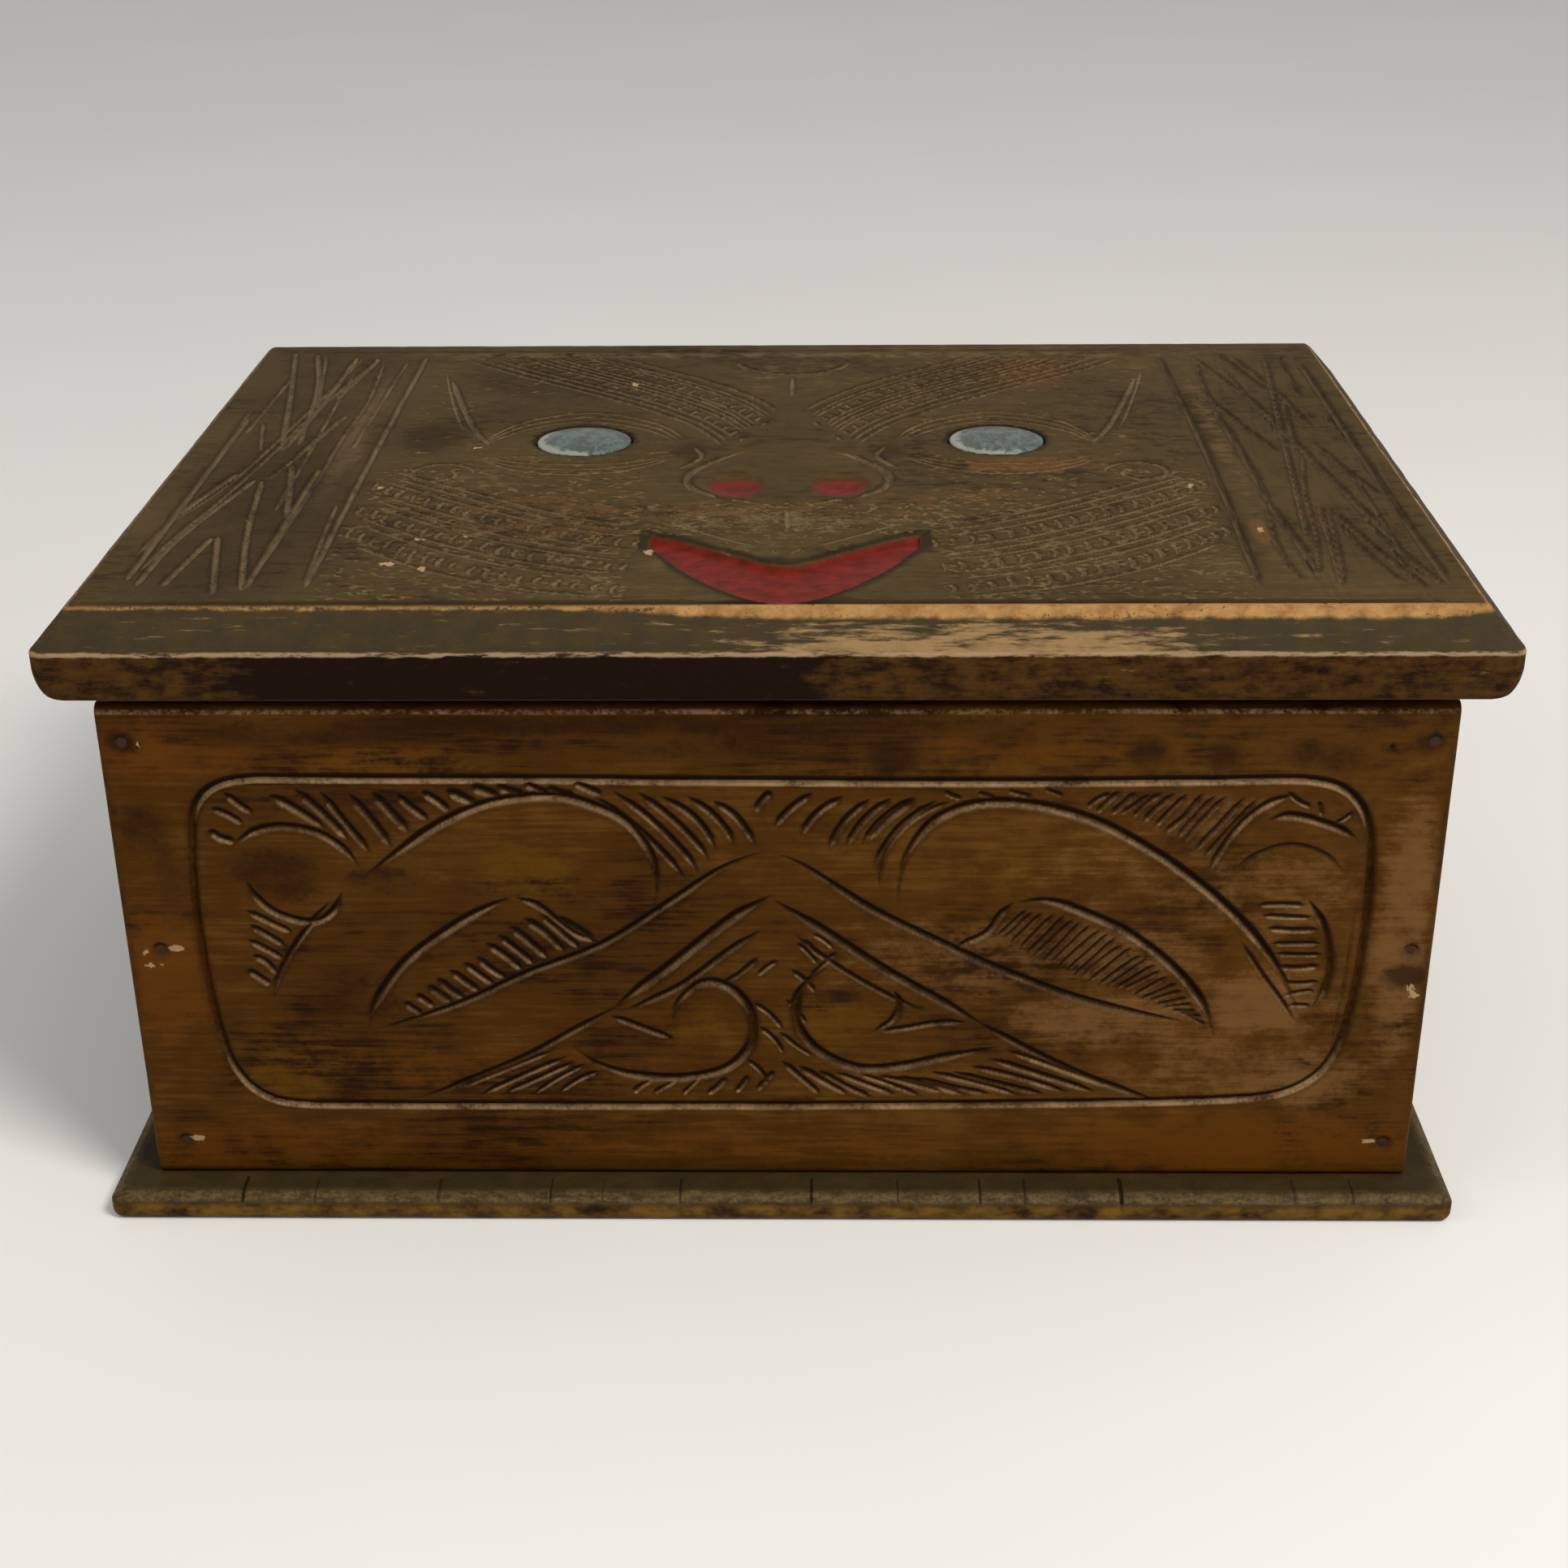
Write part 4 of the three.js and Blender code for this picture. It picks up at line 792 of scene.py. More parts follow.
def carve_mask_half(relief, side):
    """One half of the mask, the left one where side is -1 and the right one where it is 1."""
    def faced(points):
        return np.array(points, float) * (side, 1)

    def cut(route, *section):
        relief.cut(faced(route), *section)

    def bands(top, foot, lines, rows, count, width):
        """Lines between a top and a foot guide line, and rows of small hooks among them."""
        for part in lines:
            cut(between(top, foot, part), width, 0.5 * width, 3)
        for part in rows:
            starts, ends = (faced(between(top, foot, part + shift)) for shift in (-HOOK_SHARE, HOOK_SHARE))
            relief.row(starts, ends, count, 1.8, 1.0, 0.25, 1.1 * side)

    bands(BROW_TOP, BROW_FOOT, (0, 0.13, 0.2, 0.4, 0.47, 0.55, 0.62, 0.8, 0.9, 1), (0.3, 0.71), 21, 2.0)
    bands(CHEEK_TOP, CHEEK_FOOT, (0, 0.08, 0.16, 0.34, 0.42, 0.5, 0.68, 0.76, 1), (0.25, 0.59, 0.88), 18, 1.9)
    steps = np.arange(13)
    angles, reach = np.radians(200 - 42 * steps), 9.5 - 0.55 * steps
    cut(np.stack([90 + reach * np.cos(angles), 94 + reach * np.sin(angles)], -1), 2.2, 1.0)
    cut([(100, 186), (93, 158), (86, 133), (78, 114)], 2.4, 1.1)
    cut([(103, 196), (97, 166), (91, 140), (86, 124)], 1.4, 0.5)
    for step in range(3):
        for eyelid in (
            [(27 - step, 116), (38 - step, 131 + 3 * step), (55, 139.5 + 4 * step),
             (72 + step, 132 + 3 * step), (85, 113)],
            [(27 - step, 113), (40, 104 - 3 * step), (56, 101.5 - 4 * step), (72, 104 - 3 * step), (85, 112)],
        ):
            cut(eyelid, 1.7, 0.75)
    cut([(8, 116), (18, 106), (25.5, 92), (23, 80), (12, 72.5), (1, 67.5)], 3.0, 1.3)
    cut([(26, 118), (23, 108), (29, 96)], 2.2, 0.9)
    relief.dish(faced(NOSTRIL), NOSTRIL_RADII, 1.3)
    cut([(4, 37), (13, 43), (24, 52), (31, 58)], 1.6, 0.6)


def carve_end_bands(relief):
    """The knife lines at the two ends of the lid, the main ones and finer ones, with light scratches along
    them, and one line each along the front and the back of the flat top. The right end's cuts hold less pale
    dust than the left end's, a painted shade."""
    main = (
        [(-110, 211), (-109.4, 110), (-108, 8)], [(-121.5, 100), (-121.5, 10)], [(-150, 147), (-150, 14)],
        [(-124, 144.5), (-129.5, 109.5)], [(-142, 95.5), (-149.5, 62.5)],
        [(-136, 91.5), (-145, 45.5), (-147, 12)], [(-134.5, 90.5), (-129.5, 50.5), (-122, 9)],
        [(-129.5, 103), (-122, 59.5)], [(-136, 47.5), (-128, 7.5)], [(-137, 46.5), (-141, 12.5)],
        [(-130.8, 208), (-132, 157.5), (-134.5, 112.5)], [(-124, 206), (-129, 162.5)],
        [(-151, 214), (-141, 155.5), (-134.5, 113)], [(-144, 212), (-136, 170), (-131, 118)],
        [(108.5, 208), (109, 110), (107, 8)], [(149, 200), (149, 110), (149.6, 10)],
        [(118, 153), (128, 109.5)], [(118, 206), (124, 178), (130, 150), (138, 84.5), (144, 37.5)],
        [(137, 155.5), (133, 113)], [(139, 110.5), (147, 75.5)], [(119, 66.5), (122, 20)],
        [(133, 63), (138, 35.5), (144, 10)], [(130.5, 67.5), (125.5, 12)], [(126, 208), (134, 168)],
        [(141, 46), (148, 12)], [(117, 150), (119, 70)], [(140, 206), (131, 120), (123, 40)],
    )
    finer = (
        [(-128.5, 212), (-136.7, 130.5), (-143, 82.7), (-152, 50)],
        [(-124, 208), (-133, 147), (-136.5, 112), (-141, 76.7), (-146.3, 44.6), (-149, 16)],
        [(-122.6, 210), (-119.6, 162), (-120.4, 125.7), (-120.2, 88.7), (-121, 19)],
        [(-151, 157), (-150.4, 112), (-149.8, 73), (-152, 30)], [(-148.6, 202), (-140.2, 147), (-136.6, 123)],
        [(-141, 211), (-131.6, 147)], [(-145, 140), (-140.2, 114)],
        [(-122.7, 149.4), (-128.8, 112), (-133.2, 88.8)],
        [(-111.8, 72.5), (-110.5, 46), (-108.5, 12)], [(-115, 205), (-115.6, 150), (-116, 112)],
        [(-129, 190), (-127, 120), (-126, 60)], [(-146, 190), (-147.6, 128)],
        [(124.9, 199), (129, 151.6), (131.8, 118.7), (137.8, 90.7), (140.2, 55.5), (143, 14)],
        [(118.1, 139.6), (118.8, 93), (118.3, 71), (120.2, 46.5), (120, 14)],
        [(118.9, 199), (117.4, 162), (121.6, 139.6), (126.3, 114)], [(138, 161.5), (133, 121)],
        [(138.3, 121), (143, 90.6), (143.5, 42.8), (144.7, 14)], [(146, 151.4), (148.8, 103), (148.7, 24)],
        [(132.3, 69), (134.2, 41), (138.3, 19), (141.5, 12)], [(132, 67), (130, 44.7), (126.7, 16)],
        [(134.2, 110), (129, 78.6), (126, 48.3), (121.3, 17)], [(117.6, 67), (115.3, 36), (117.2, 14)],
        [(144, 205), (143, 160)], [(130, 205), (137, 168), (141, 130)],
    )
    # The right end's cuts get less pale dust than the left end's: a painted shade.
    for routes, left_pale, right_pale, section in (
        (main, 0.9, 0.45, (2.4, 1.15, 6)), (finer, 0.7, 0.4, (1.8, 0.9, 4)),
    ):
        for route in routes:
            relief.pale = left_pale if route[0][0] < 0 else right_pale
            relief.cut(route, *section)
    relief.pale = 0.5
    for side in (-1, 1):
        near, far = sorted((112 * side, 152 * side))
        relief.marks((near, 10), (far, 205), 90, 34, 1.0, 0.34, ACROSS)
    relief.pale = 0.0
    relief.cut([(-152, 1.7), (0, 1.5), (150, 1.8)], 1.4, 0.6, 6)
    relief.cut([(-150, 211.5), (0, 211), (150, 211.6)], 1.7, 0.6, 6)


def carve_lid(relief):
    """The mask, the tool marks round it and the lines of the ends, from the middle of the front edge of the
    flat top. The mouth is sunk last, and takes the place of what else is cut there, with a ring of painted
    shade round it."""
    for side in (-1, 1):
        carve_mask_half(relief, side)
        for inner, outer, foot, head, count, reach, depth in (
            (36, 106, 4, 98, 1000, 2.8, 0.55), (30, 104, 98, 208, 450, 3.2, 0.42),
        ):
            near, far = sorted((inner * side, outer * side))
            relief.marks((near, foot), (far, head), count, reach, 1.4, depth, ALONG)
    relief.marks((-40, 47), (40, 70), 420, 2.2, 1.4, 0.65, ALONG)
    relief.marks((-16, 32), (16, 47), 60, 1.8, 1.3, 0.45)
    relief.marks((-26, 100), (26, 205), 110, 3.2, 1.3, 0.2)
    arc = np.radians(np.linspace(180, 360, 9))
    relief.cut(np.stack([17 * np.cos(arc), 203 + 17 * np.sin(arc)], -1), 2.8, 1.2)
    relief.cut([(0, 184), (0, 163)], 2.2, 0.9)
    relief.cut([(0, 66), (0.5, 50)], 2.0, 0.7)
    carve_end_bands(relief)
    inside = mouth_inside(*np.meshgrid(relief.columns, relief.rows))
    cover = np.clip(inside / 0.7 + 0.5, 0, 1)
    relief.depth = np.maximum(relief.depth * (1 - cover), sizes().mouth_depth * cover)
    relief.dust *= 1 - cover
    # A ring of painted shade round the mouth's edge; the cuts' painted shade is weakened, and gone inside the
    # mouth.
    relief.rim = np.maximum(relief.rim * 0.65 * (1 - cover), np.clip(1.8 - np.abs(inside + 1.5) / 0.9, 0, 1))


# Boards

# Spacing of the points where a board's ends are eased, and over a plain board, in mm.
END_PITCH = 0.25
PLAIN_PITCH = 0.9

# Radii of the hollows round the nails' heads and how deep they are sunk, in mm.
NAIL_WELL = 1.9
FRONT_NAIL_WELL = 1.75
NAIL_SINK = 0.5

# Most triangles on a plain board and on the base.
PLAIN_TRIANGLES = 40000
BASE_TRIANGLES = 120000


def planed(columns, rows, *waves):
    """How uneven a face is planed. Each wave gives its height, its pitch and its seed."""
    return sum(height * rolling(columns, rows, pitch, seed) for height, pitch, seed in waves)


def panel(name, low, high, normal, columns, rows, depth, wave, rounding, held=None):
    """A board that stands upright: one closed skin carried round the board's section, with its two ends
    capped. Columns are measured along the board, rows up it, and the depths are how far the outer face is
    cut in. The outer face's upper edge is rounded by a quarter circle, and its ends by a smaller one."""
    easing = sizes().edge_easing
    normal = np.array(normal, float)
    across = np.cross((0, 0, 1), normal)
    middle = (low + high) / 2
    thickness = abs((high - low) @ normal)
    height = high[2] - low[2]
    half = abs((high - low) @ across) / 2
    drawn = np.clip(easing - (half - np.abs(columns)), 0, easing)
    ends = easing - np.sqrt(easing ** 2 - drawn ** 2)
    third = easing / 3
    over = [
        (rounding * (1 - math.cos(angle)), height - rounding + rounding * math.sin(angle), math.cos(angle))
        for angle in np.radians(np.linspace(0, 90, 8))[1:]
    ]
    rim = [*over, (thickness - easing, height, 0), (thickness - third, height - third, 0),
           (thickness, height - easing, 0), (thickness, easing, 0), (thickness - third, third, 0),
           (thickness - easing, 0, 0), (easing, 0, 0), (third, third, 0)]
    surface = depth + wave
    inwards = np.concatenate([surface + ends] + [
        (y + wave[-1] * share + ends * (y < thickness / 2))[None, :] for y, z, share in rim
    ])
    heights = np.concatenate([np.broadcast_to(rows[:, None], surface.shape)] + [
        np.full((1, len(columns)), z) for y, z, share in rim
    ])
    outer = middle + normal * thickness / 2
    outer[2] = low[2]
    points = (
        outer + columns[None, :, None] * across
        + heights[:, :, None] * np.array([0, 0, 1]) - inwards[:, :, None] * normal
    )
    count = len(points)
    first = np.arange(count)[None, :] * len(columns)
    faces = [grid_faces(count, len(columns), True), first, first[:, ::-1] + len(columns) - 1]
    plain = np.zeros((len(rim), len(columns)))
    values = {key: np.concatenate([value, plain]) for key, value in (held or {}).items()}
    return build(name, points.reshape(-1, 3), faces, values)


def nail_places(kind, count, foot, across):
    """The middles of nail heads on an upright board, along it and up from its foot, in mm."""
    middles = [middle_of(node) for node in numbered(kind, count)]
    return [(middle[0] * across, middle[2] - foot) for middle in middles]


def make_front_board():
    """The front board, with its carving and the sunk heads of its nails."""
    size = sizes()
    half = FRONT_HIGH[0]
    height = FRONT_HIGH[2] - FRONT_LOW[2]
    easing = size.edge_easing
    margin, carved_foot, carved_head = 139.5, 17, 110
    columns = spaced(
        (-half, -half + easing, END_PITCH), (-half + easing, -margin, 0.5), (-margin, margin, size.grid),
        (margin, half - easing, 0.5), (half - easing, half, END_PITCH),
    )
    rows = spaced(
        (easing, carved_foot, 0.7), (carved_foot, carved_head, size.grid),
        (carved_head, height - size.front_rounding, 0.6),
    )
    relief = Relief(columns, rows, seed=11)
    carve_front(relief)
    for place in nail_places("front_nail", 6, FRONT_LOW[2], 1):
        relief.well(place, FRONT_NAIL_WELL, NAIL_SINK)
    # a dent beside a nail, and a small hole
    relief.dish((-141.5, 61.5), (3.4, 2.2), 0.3)
    relief.well((138.7, 115), 0.6, 0.6)
    wave = planed(columns, rows, (0.10, 14, 3), (0.04, 4.5, 4))
    slope = np.gradient(relief.depth, rows, axis=0)
    # Upward-facing slopes of the cuts get pale dust with a painted highlight, downward-facing ones painted
    # shade.
    held = {
        "cut": np.clip(relief.depth, 0, 1), "rim": relief.rim,
        "ledge_dust_and_highlight": np.clip(slope * 1.4, 0, 1) * relief.dust, "under": np.clip(-slope * 1.1, 0, 1),
    }
    place = np.meshgrid(columns, rows)
    held.update({key: patches(*place, spots) for key, spots in FRONT_SPOTS.items()})
    piece = panel(
        "front_board_carved", FRONT_LOW, FRONT_HIGH, (0, -1, 0), columns, rows, relief.depth, wave,
        size.front_rounding, held,
    )
    return sharpen(thin(piece, size.triangles), angle=60)


def make_plain_board(name, node, normal, nails=()):
    """A plain wall board, planed a little uneven, with sunk nail heads."""
    low, high = extent(node)
    easing = sizes().edge_easing
    half = abs((high - low) @ np.cross((0, 0, 1), normal)) / 2
    columns = spaced(
        (-half, -half + easing, END_PITCH), (-half + easing, half - easing, PLAIN_PITCH),
        (half - easing, half, END_PITCH),
    )
    rows = spaced((easing, high[2] - low[2] - easing, PLAIN_PITCH))
    relief = Relief(columns, rows, seed=21)
    for place in nails:
        relief.well(place, NAIL_WELL, NAIL_SINK)
    wave = np.abs(planed(columns, rows, (0.09, 17, 5), (0.03, 6, 6)))
    piece = panel(name, low, high, normal, columns, rows, relief.depth, wave, easing)
    return sharpen(thin(piece, PLAIN_TRIANGLES), angle=60)


class Edge:
    """Rings that carry the edge of a slab's grid face on, with the numbers kept on their points."""

    def __init__(self, columns, rows, face_points):
        self.u, self.v = edge_shares(columns, rows)
        self.rings = []
        self.kept = {}
        self.face_points = face_points

    def add(self, ring, **values):
        """Takes up a ring, and a value or an array of values of each name for its points."""
        self.rings.append(ring)
        for key, value in values.items():
            self.kept.setdefault(key, []).append(np.broadcast_to(value, len(ring)))

    def held(self, **face_values):
        """The values of the face's points, followed by those of the rings' points."""
        merged = {}
        for key in {**face_values, **self.kept}:
            start = np.broadcast_to(face_values.get(key, 0.0), self.face_points).reshape(-1)
            ends = self.kept.get(key, [np.zeros(len(ring)) for ring in self.rings])
            merged[key] = np.concatenate([start, *ends])
        return merged


def lid_edge(edge, low, high, flat_low, flat_high):
    """The lid's bevel, its worn upper and lower arrises, its upright edge and its rounded underside."""
    size = sizes()
    rise = high[2] - low[2] - size.edge_height
    reach = math.hypot(size.front_bevel, rise)
    dents = wandering(len(edge.u), pitch=9, seed=9)[:, None] ** 3
    middle = (flat_low + flat_high) / 2
    flat_radius = 1.2

    def ring(share, drawn, drop, end_draw=0.0, dent=0.0):
        """A loop at a share of the bevel's width, drawn in by a little, at a drop below the top."""
        ends = np.array([end_draw, 0])
        loop = rounded_loop(
            edge.u, edge.v, flat_low + (low[:2] - flat_low) * share + drawn + ends,
            flat_high + (high[:2] - flat_high) * share - drawn - ends,
            flat_radius + (size.corner_radius - flat_radius) * share, high[2] - drop,
        )
        loop[:, :2] -= np.sign(loop[:, :2] - middle) * dent * dents
        loop[:, 2] -= 0.5 * dent * dents[:, 0]
        edge.add(loop, upper=share * reach - drawn, lower=(share - 1) * reach + max(0, drop - rise))

    ring(0, 0.45, 0.06, dent=0.12)
    ring(0, 0.12, 0.26, dent=0.25)
    ring(0.04, 0, 0.60, dent=0.3)
    for share in (0.1, 0.2, 0.32, 0.45, 0.58, 0.7, 0.82, 0.92):
        ring(share, 0, share * rise, dent=0.1)
    ring(0.97, 0, 0.965 * rise, dent=0.22)
    ring(0.995, 0, rise + 0.1, dent=0.3)
    ring(1, 0, rise + 0.6, dent=0.15)
    for angle in np.radians(np.linspace(0, 90, 11)):
        level = size.end_round_height * (1 - math.sin(angle))
        close = max(0, size.edge_easing - level)
        drawn = size.edge_easing - math.sqrt(size.edge_easing ** 2 - close ** 2)
        ring(1, drawn, high[2] - low[2] - level, size.end_round_width * (1 - math.cos(angle)))


def make_lid_board():
    """The lid: a carved flat top, a bevel all round, upright edges, and ends rounded underneath."""
    size = sizes()
    low, high = LID_LOW, LID_HIGH
    flat_low = low[:2] + (size.end_bevel, size.front_bevel)
    flat_high = high[:2] - (size.end_bevel, size.back_bevel)
    arris, side_gap, floor_gap = 0.9, 0.4, 0.1
    columns = spaced((flat_low[0] + arris, flat_high[0] - arris, size.lid_grid))
    rows = spaced((flat_low[1] + arris, flat_high[1] - arris, size.lid_grid_deep))
    origin = np.array([size.mask_shift, flat_low[1]])
    relief = Relief(columns - origin[0], rows - origin[1], seed=5)
    carve_lid(relief)
    for node in EYES:
        eye_low, eye_high = extent(node)
        radius = (eye_high - eye_low)[0] / 2
        relief.well(middle_of(node)[:2] - origin, radius + side_gap, high[2] - eye_low[2] + floor_gap)
    x, y = np.meshgrid(columns, rows)
    inset = np.minimum.reduce([x - flat_low[0], flat_high[0] - x, y - flat_low[1], flat_high[1] - y])
    wave = np.abs(planed(columns, rows, (0.09, 15, 7), (0.05, 4.2, 8)))
    wave = wave * np.clip((inset - arris) / 3, 0, 1)
    edge = Edge(columns, rows, x.size)
    lid_edge(edge, low, high, flat_low, flat_high)
    points, faces = stacked(np.stack([x, y, high[2] - relief.depth - wave], -1), edge.rings, True)
    shape = x - origin[0], y - origin[1]
    red = np.maximum(np.clip(mouth_inside(*shape) / 0.6 + 0.5, 0, 1), 0.75 * nostril_cover(*shape))
    spots = {key: patches(*shape, values).ravel() for key, values in LID_SPOTS.items()}
    reach = math.hypot(size.front_bevel, high[2] - low[2] - size.edge_height)
    held = edge.held(
        cut=(relief.dust * np.clip(relief.depth / 0.6, 0, 1)).ravel(), rim=relief.rim.ravel(),
        red=red.ravel(), upper=-inset.ravel(), lower=(-inset - reach).ravel(), **spots,
    )
    piece = build("lid_board_carved", points, faces, held)
    return sharpen(thin(piece, size.triangles), angle=60)


# Knife notches of the base: each place along the front and its strength.
NOTCHES = np.array([
    (-131, 1.2), (-113, 0.6), (-103, 0.5), (-83, 1.3), (-55.5, 0.8), (-43, 0.4), (-24, 0.6), (8, 1.0),
    (29, 0.5), (49, 0.8), (60, 0.6), (83.5, 2.0), (101, 0.4), (125.5, 1.1), (139.5, 0.7),
])


def base_edge(edge, low, high):
    """The base's rounded lower edge, its upright side and its sloped upper edge, with knife notches and
    wear at the front."""
    size = sizes()
    wear = wandering(len(edge.u), pitch=12, seed=12) ** 2
    along = low[0] + edge.u * (high[0] - low[0])
    nicks = [strength * np.clip(1 - np.abs(along - place) / 0.5, 0, 1) for place, strength in NOTCHES]
    front = edge.v == 0
    nick = np.max(nicks, axis=0) * front
    top = high[2] - low[2]
    shoulder = top - size.base_chamfer_height
    corner = 24

    def ring(drawn, level, chamfer=0.0, cut=0.0, dent=0.0, rubbed=0.0):
        """A loop drawn in all round, by a chamfer on three sides and by notches and wear at the front. Only
        the points near the corners move along the sides, so that the notches stay square to the edge."""
        near = low[:2] + drawn + chamfer
        far = high[:2] - drawn - np.array([chamfer, 0.15 * chamfer])
        shares = []
        for axis, share in enumerate((edge.u, edge.v)):
            start, end = low[axis], high[axis]
            stops = [start, start + corner, end - corner, end]
            moved = np.interp(start + share * (end - start), stops, [near[axis], *stops[1:3], far[axis]])
            shares.append((moved - near[axis]) / (far[axis] - near[axis]))
        loop = rounded_loop(*shares, near, far, max(0.6, size.base_corner - 0.5 * drawn), low[2] + level)
        deep = nick if level > shoulder else np.clip(nick - 1, 0, 1)
        loop[:, 1] += 0.5 * cut * deep + dent * wear * front
        loop[:, 2] -= 0.5 * cut * deep + 0.5 * dent * wear
        edge.add(loop, rubbed=rubbed, nick=deep * (cut > 0))

    ring(0.9, 0.35)
    ring(0.3, 1.1)
    ring(0, 2.2)
    ring(0, shoulder - 1.0, cut=0.15)
    ring(0, shoulder - 0.3, cut=0.4, dent=0.15, rubbed=0.2)
    ring(0.12, shoulder + 0.15, cut=0.7, dent=0.3, rubbed=0.6)
    for share in (0.25, 0.5, 0.75):
        level = shoulder + share * size.base_chamfer_height
        ring(0, level, share * size.base_chamfer, 0.7, 0.1, 1.1 - 0.5 * share)
    ring(0, top - 0.15, 0.96 * size.base_chamfer, 0.7, rubbed=0.5)
    ring(0, top, 1.15 * size.base_chamfer, 0.6, rubbed=0.3)
    for inward, cut in ((4.2, 0.5), (5.6, 0.4), (7.2, 0.25), (9.0, 0.0), (14.0, 0.0)):
        ring(0, top - 0.02, inward, cut)


def make_base():
    """The base, with sunk nail heads underneath."""
    low, high = BASE_LOW, BASE_HIGH
    under, front_strip = 2.2, 14
    fine = np.concatenate([place + np.linspace(-0.6, 0.6, 7) for place in NOTCHES[:, 0]])
    columns = np.unique(np.round(np.concatenate([spaced((low[0] + under, high[0] - under, 0.7)), fine]), 2))
    strip_end = low[1] + front_strip
    rows = spaced((low[1] + under, strip_end, 1.0), (strip_end, high[1] - under, 2.0))
    relief = Relief(columns, rows, seed=31)
    for node in numbered("base_nail", 8):
        relief.well(middle_of(node)[:2], NAIL_WELL, NAIL_SINK)
    x, y = np.meshgrid(columns, rows)
    edge = Edge(columns, rows, x.size)
    base_edge(edge, low, high)
    points, faces = stacked(np.stack([x, y, low[2] + relief.depth], -1), edge.rings, False)
    piece = build("base_plate_notched", points, faces, edge.held())
    return sharpen(thin(piece, BASE_TRIANGLES), angle=50)


# Small pieces

def make_eye(name, node):
    """A shell inlay: a low dome turned about its own upright axis, with an eased rim. Each point keeps how
    near it lies to the rim, more so towards the lower left where the rim is a painted highlight, and how dark
    it is along its far rim, with grime and painted shade."""
    low, high = extent(node)
    radius, height = (high - low)[0] / 2, (high - low)[2]
    rise = 0.36 * height
    dome = [(radius * 0.965 * share, height - rise * share ** 2.2) for share in np.linspace(0, 1, 22)]
    shoulder = (radius * 0.99, height - 1.15 * rise)
    edge = [(radius - 0.3, 0), (radius, 0.3), (radius, height - 1.5 * rise), shoulder]
    points, faces = turned([(0, 0), *edge, *dome[::-1]], sides=128, rough=0.002, seed=4)
    reach = np.hypot(points[:, 0], points[:, 1]) / radius
    slant = (-0.8 * points[:, 0] - 0.6 * points[:, 1]) / radius
    # Towards the lower left the pale rim widens as a painted highlight.
    rim = np.clip((reach - 0.62) / 0.3, 0, 1) * (0.35 + 0.65 * np.clip(slant + 0.3, 0, 1))
    # Darker along the far rim: grime and painted shade.
    dirt = np.clip((reach - 0.55) / 0.3, 0, 1) * np.clip(points[:, 1] / radius, 0, 1)
    moved = placed((points, faces), Matrix.Translation((*middle_of(node)[:2], low[2])))
    return build(name, *moved, {"rim": rim, "dirt": dirt})


def plate(low, high, easing):
    """A flat plate with rounded corners and eased edges."""
    columns, rows = (spaced((low[axis] + easing, high[axis] - easing, 0.6)) for axis in range(2))
    x, y = np.meshgrid(columns, rows)
    shares = edge_shares(columns, rows)
    rings = []
    for angle in np.radians(np.linspace(0, 180, 9)[1:]):
        drawn = easing * (1 - math.sin(angle))
        dip = easing * (1 - abs(math.cos(angle)))
        level = high[2] - dip if angle <= math.pi / 2 else low[2] + dip
        rings.append(rounded_loop(*shares, low[:2] + drawn, high[:2] - drawn, easing, level))
    return stacked(np.stack([x, y, np.full_like(x, high[2])], -1), rings, True)


def barrel(start, end, radius, bore, centre):
    """A knuckle: a tube along X whose outer ends are eased."""
    ease, sides = 0.35, 40
    section = np.array([
        (start, bore), (start, radius - ease), (start + ease * 0.3, radius - ease * 0.3),
        (start + ease, radius), (end - ease, radius), (end - ease * 0.3, radius - ease * 0.3),
        (end, radius - ease), (end, bore),
    ])
    angles = np.linspace(0, 2 * np.pi, sides, endpoint=False)
    points = np.stack([
        np.broadcast_to(section[:, :1], (len(section), len(angles))),
        centre[0] + section[:, 1:] * np.cos(angles),
        centre[1] + section[:, 1:] * np.sin(angles),
    ], -1).reshape(-1, 3)
    loops = np.arange(len(points)).reshape(len(section), len(angles))
    return points, [ring_faces(one, other) for one, other in zip(loops, np.roll(loops, -1, axis=0))]


def make_leaf(name, node, pin, side, knuckles):
    """A hinge leaf: a plate let into the wood and its knuckles. Side is 1 for the box and -1 for the lid."""
    low, high = extent(node)
    centre = middle_of(pin)[1:]
    back = BACK_HIGH[1]
    thickness, gap, proud, bore = 1.2, 0.3, 0.08, 1.15
    face = BACK_HIGH[2] + proud if side > 0 else LID_LOW[2] - proud
    foot, head = sorted((face, face - side * thickness))
    parts = [plate(np.array([low[0], low[1], foot]), np.array([high[0], back + 0.6, head]), 0.25)]
    pitch = (high[0] - low[0] + gap) / 3
    for item in knuckles:
        near = low[0] + item * pitch
        far = near + pitch - gap
        parts.append(plate(np.array([near, back - 0.5, foot]), np.array([far, centre[0], head]), 0.2))
        parts.append(barrel(near, far, high[1] - centre[0], bore, centre))
    return sharpen(joined(name, parts), angle=35)


def make_hinge_pin(name, node):
    """A hinge pin with a domed head at each end, turned and laid along X."""
    low, high = extent(node)
    half = (high - low)[0] / 2
    head, shank = (high - low)[2] / 2, 1.0
    end = [
        (0, half), (head * 0.45, half - 0.05), (head * 0.8, half - 0.18), (head, half - 0.5),
        (shank, half - 0.52),
    ]
    profile = [(radius, -level) for radius, level in end] + end[::-1]
    turn = Matrix.Translation(middle_of(node)) @ Matrix.Rotation(math.radians(90), 4, "Y")
    return joined(name, [placed(turned(profile, sides=32), turn)])


# Radii of the heads, in mm.
SCREW_HEAD = 2.1
NAIL_HEAD = 1.5


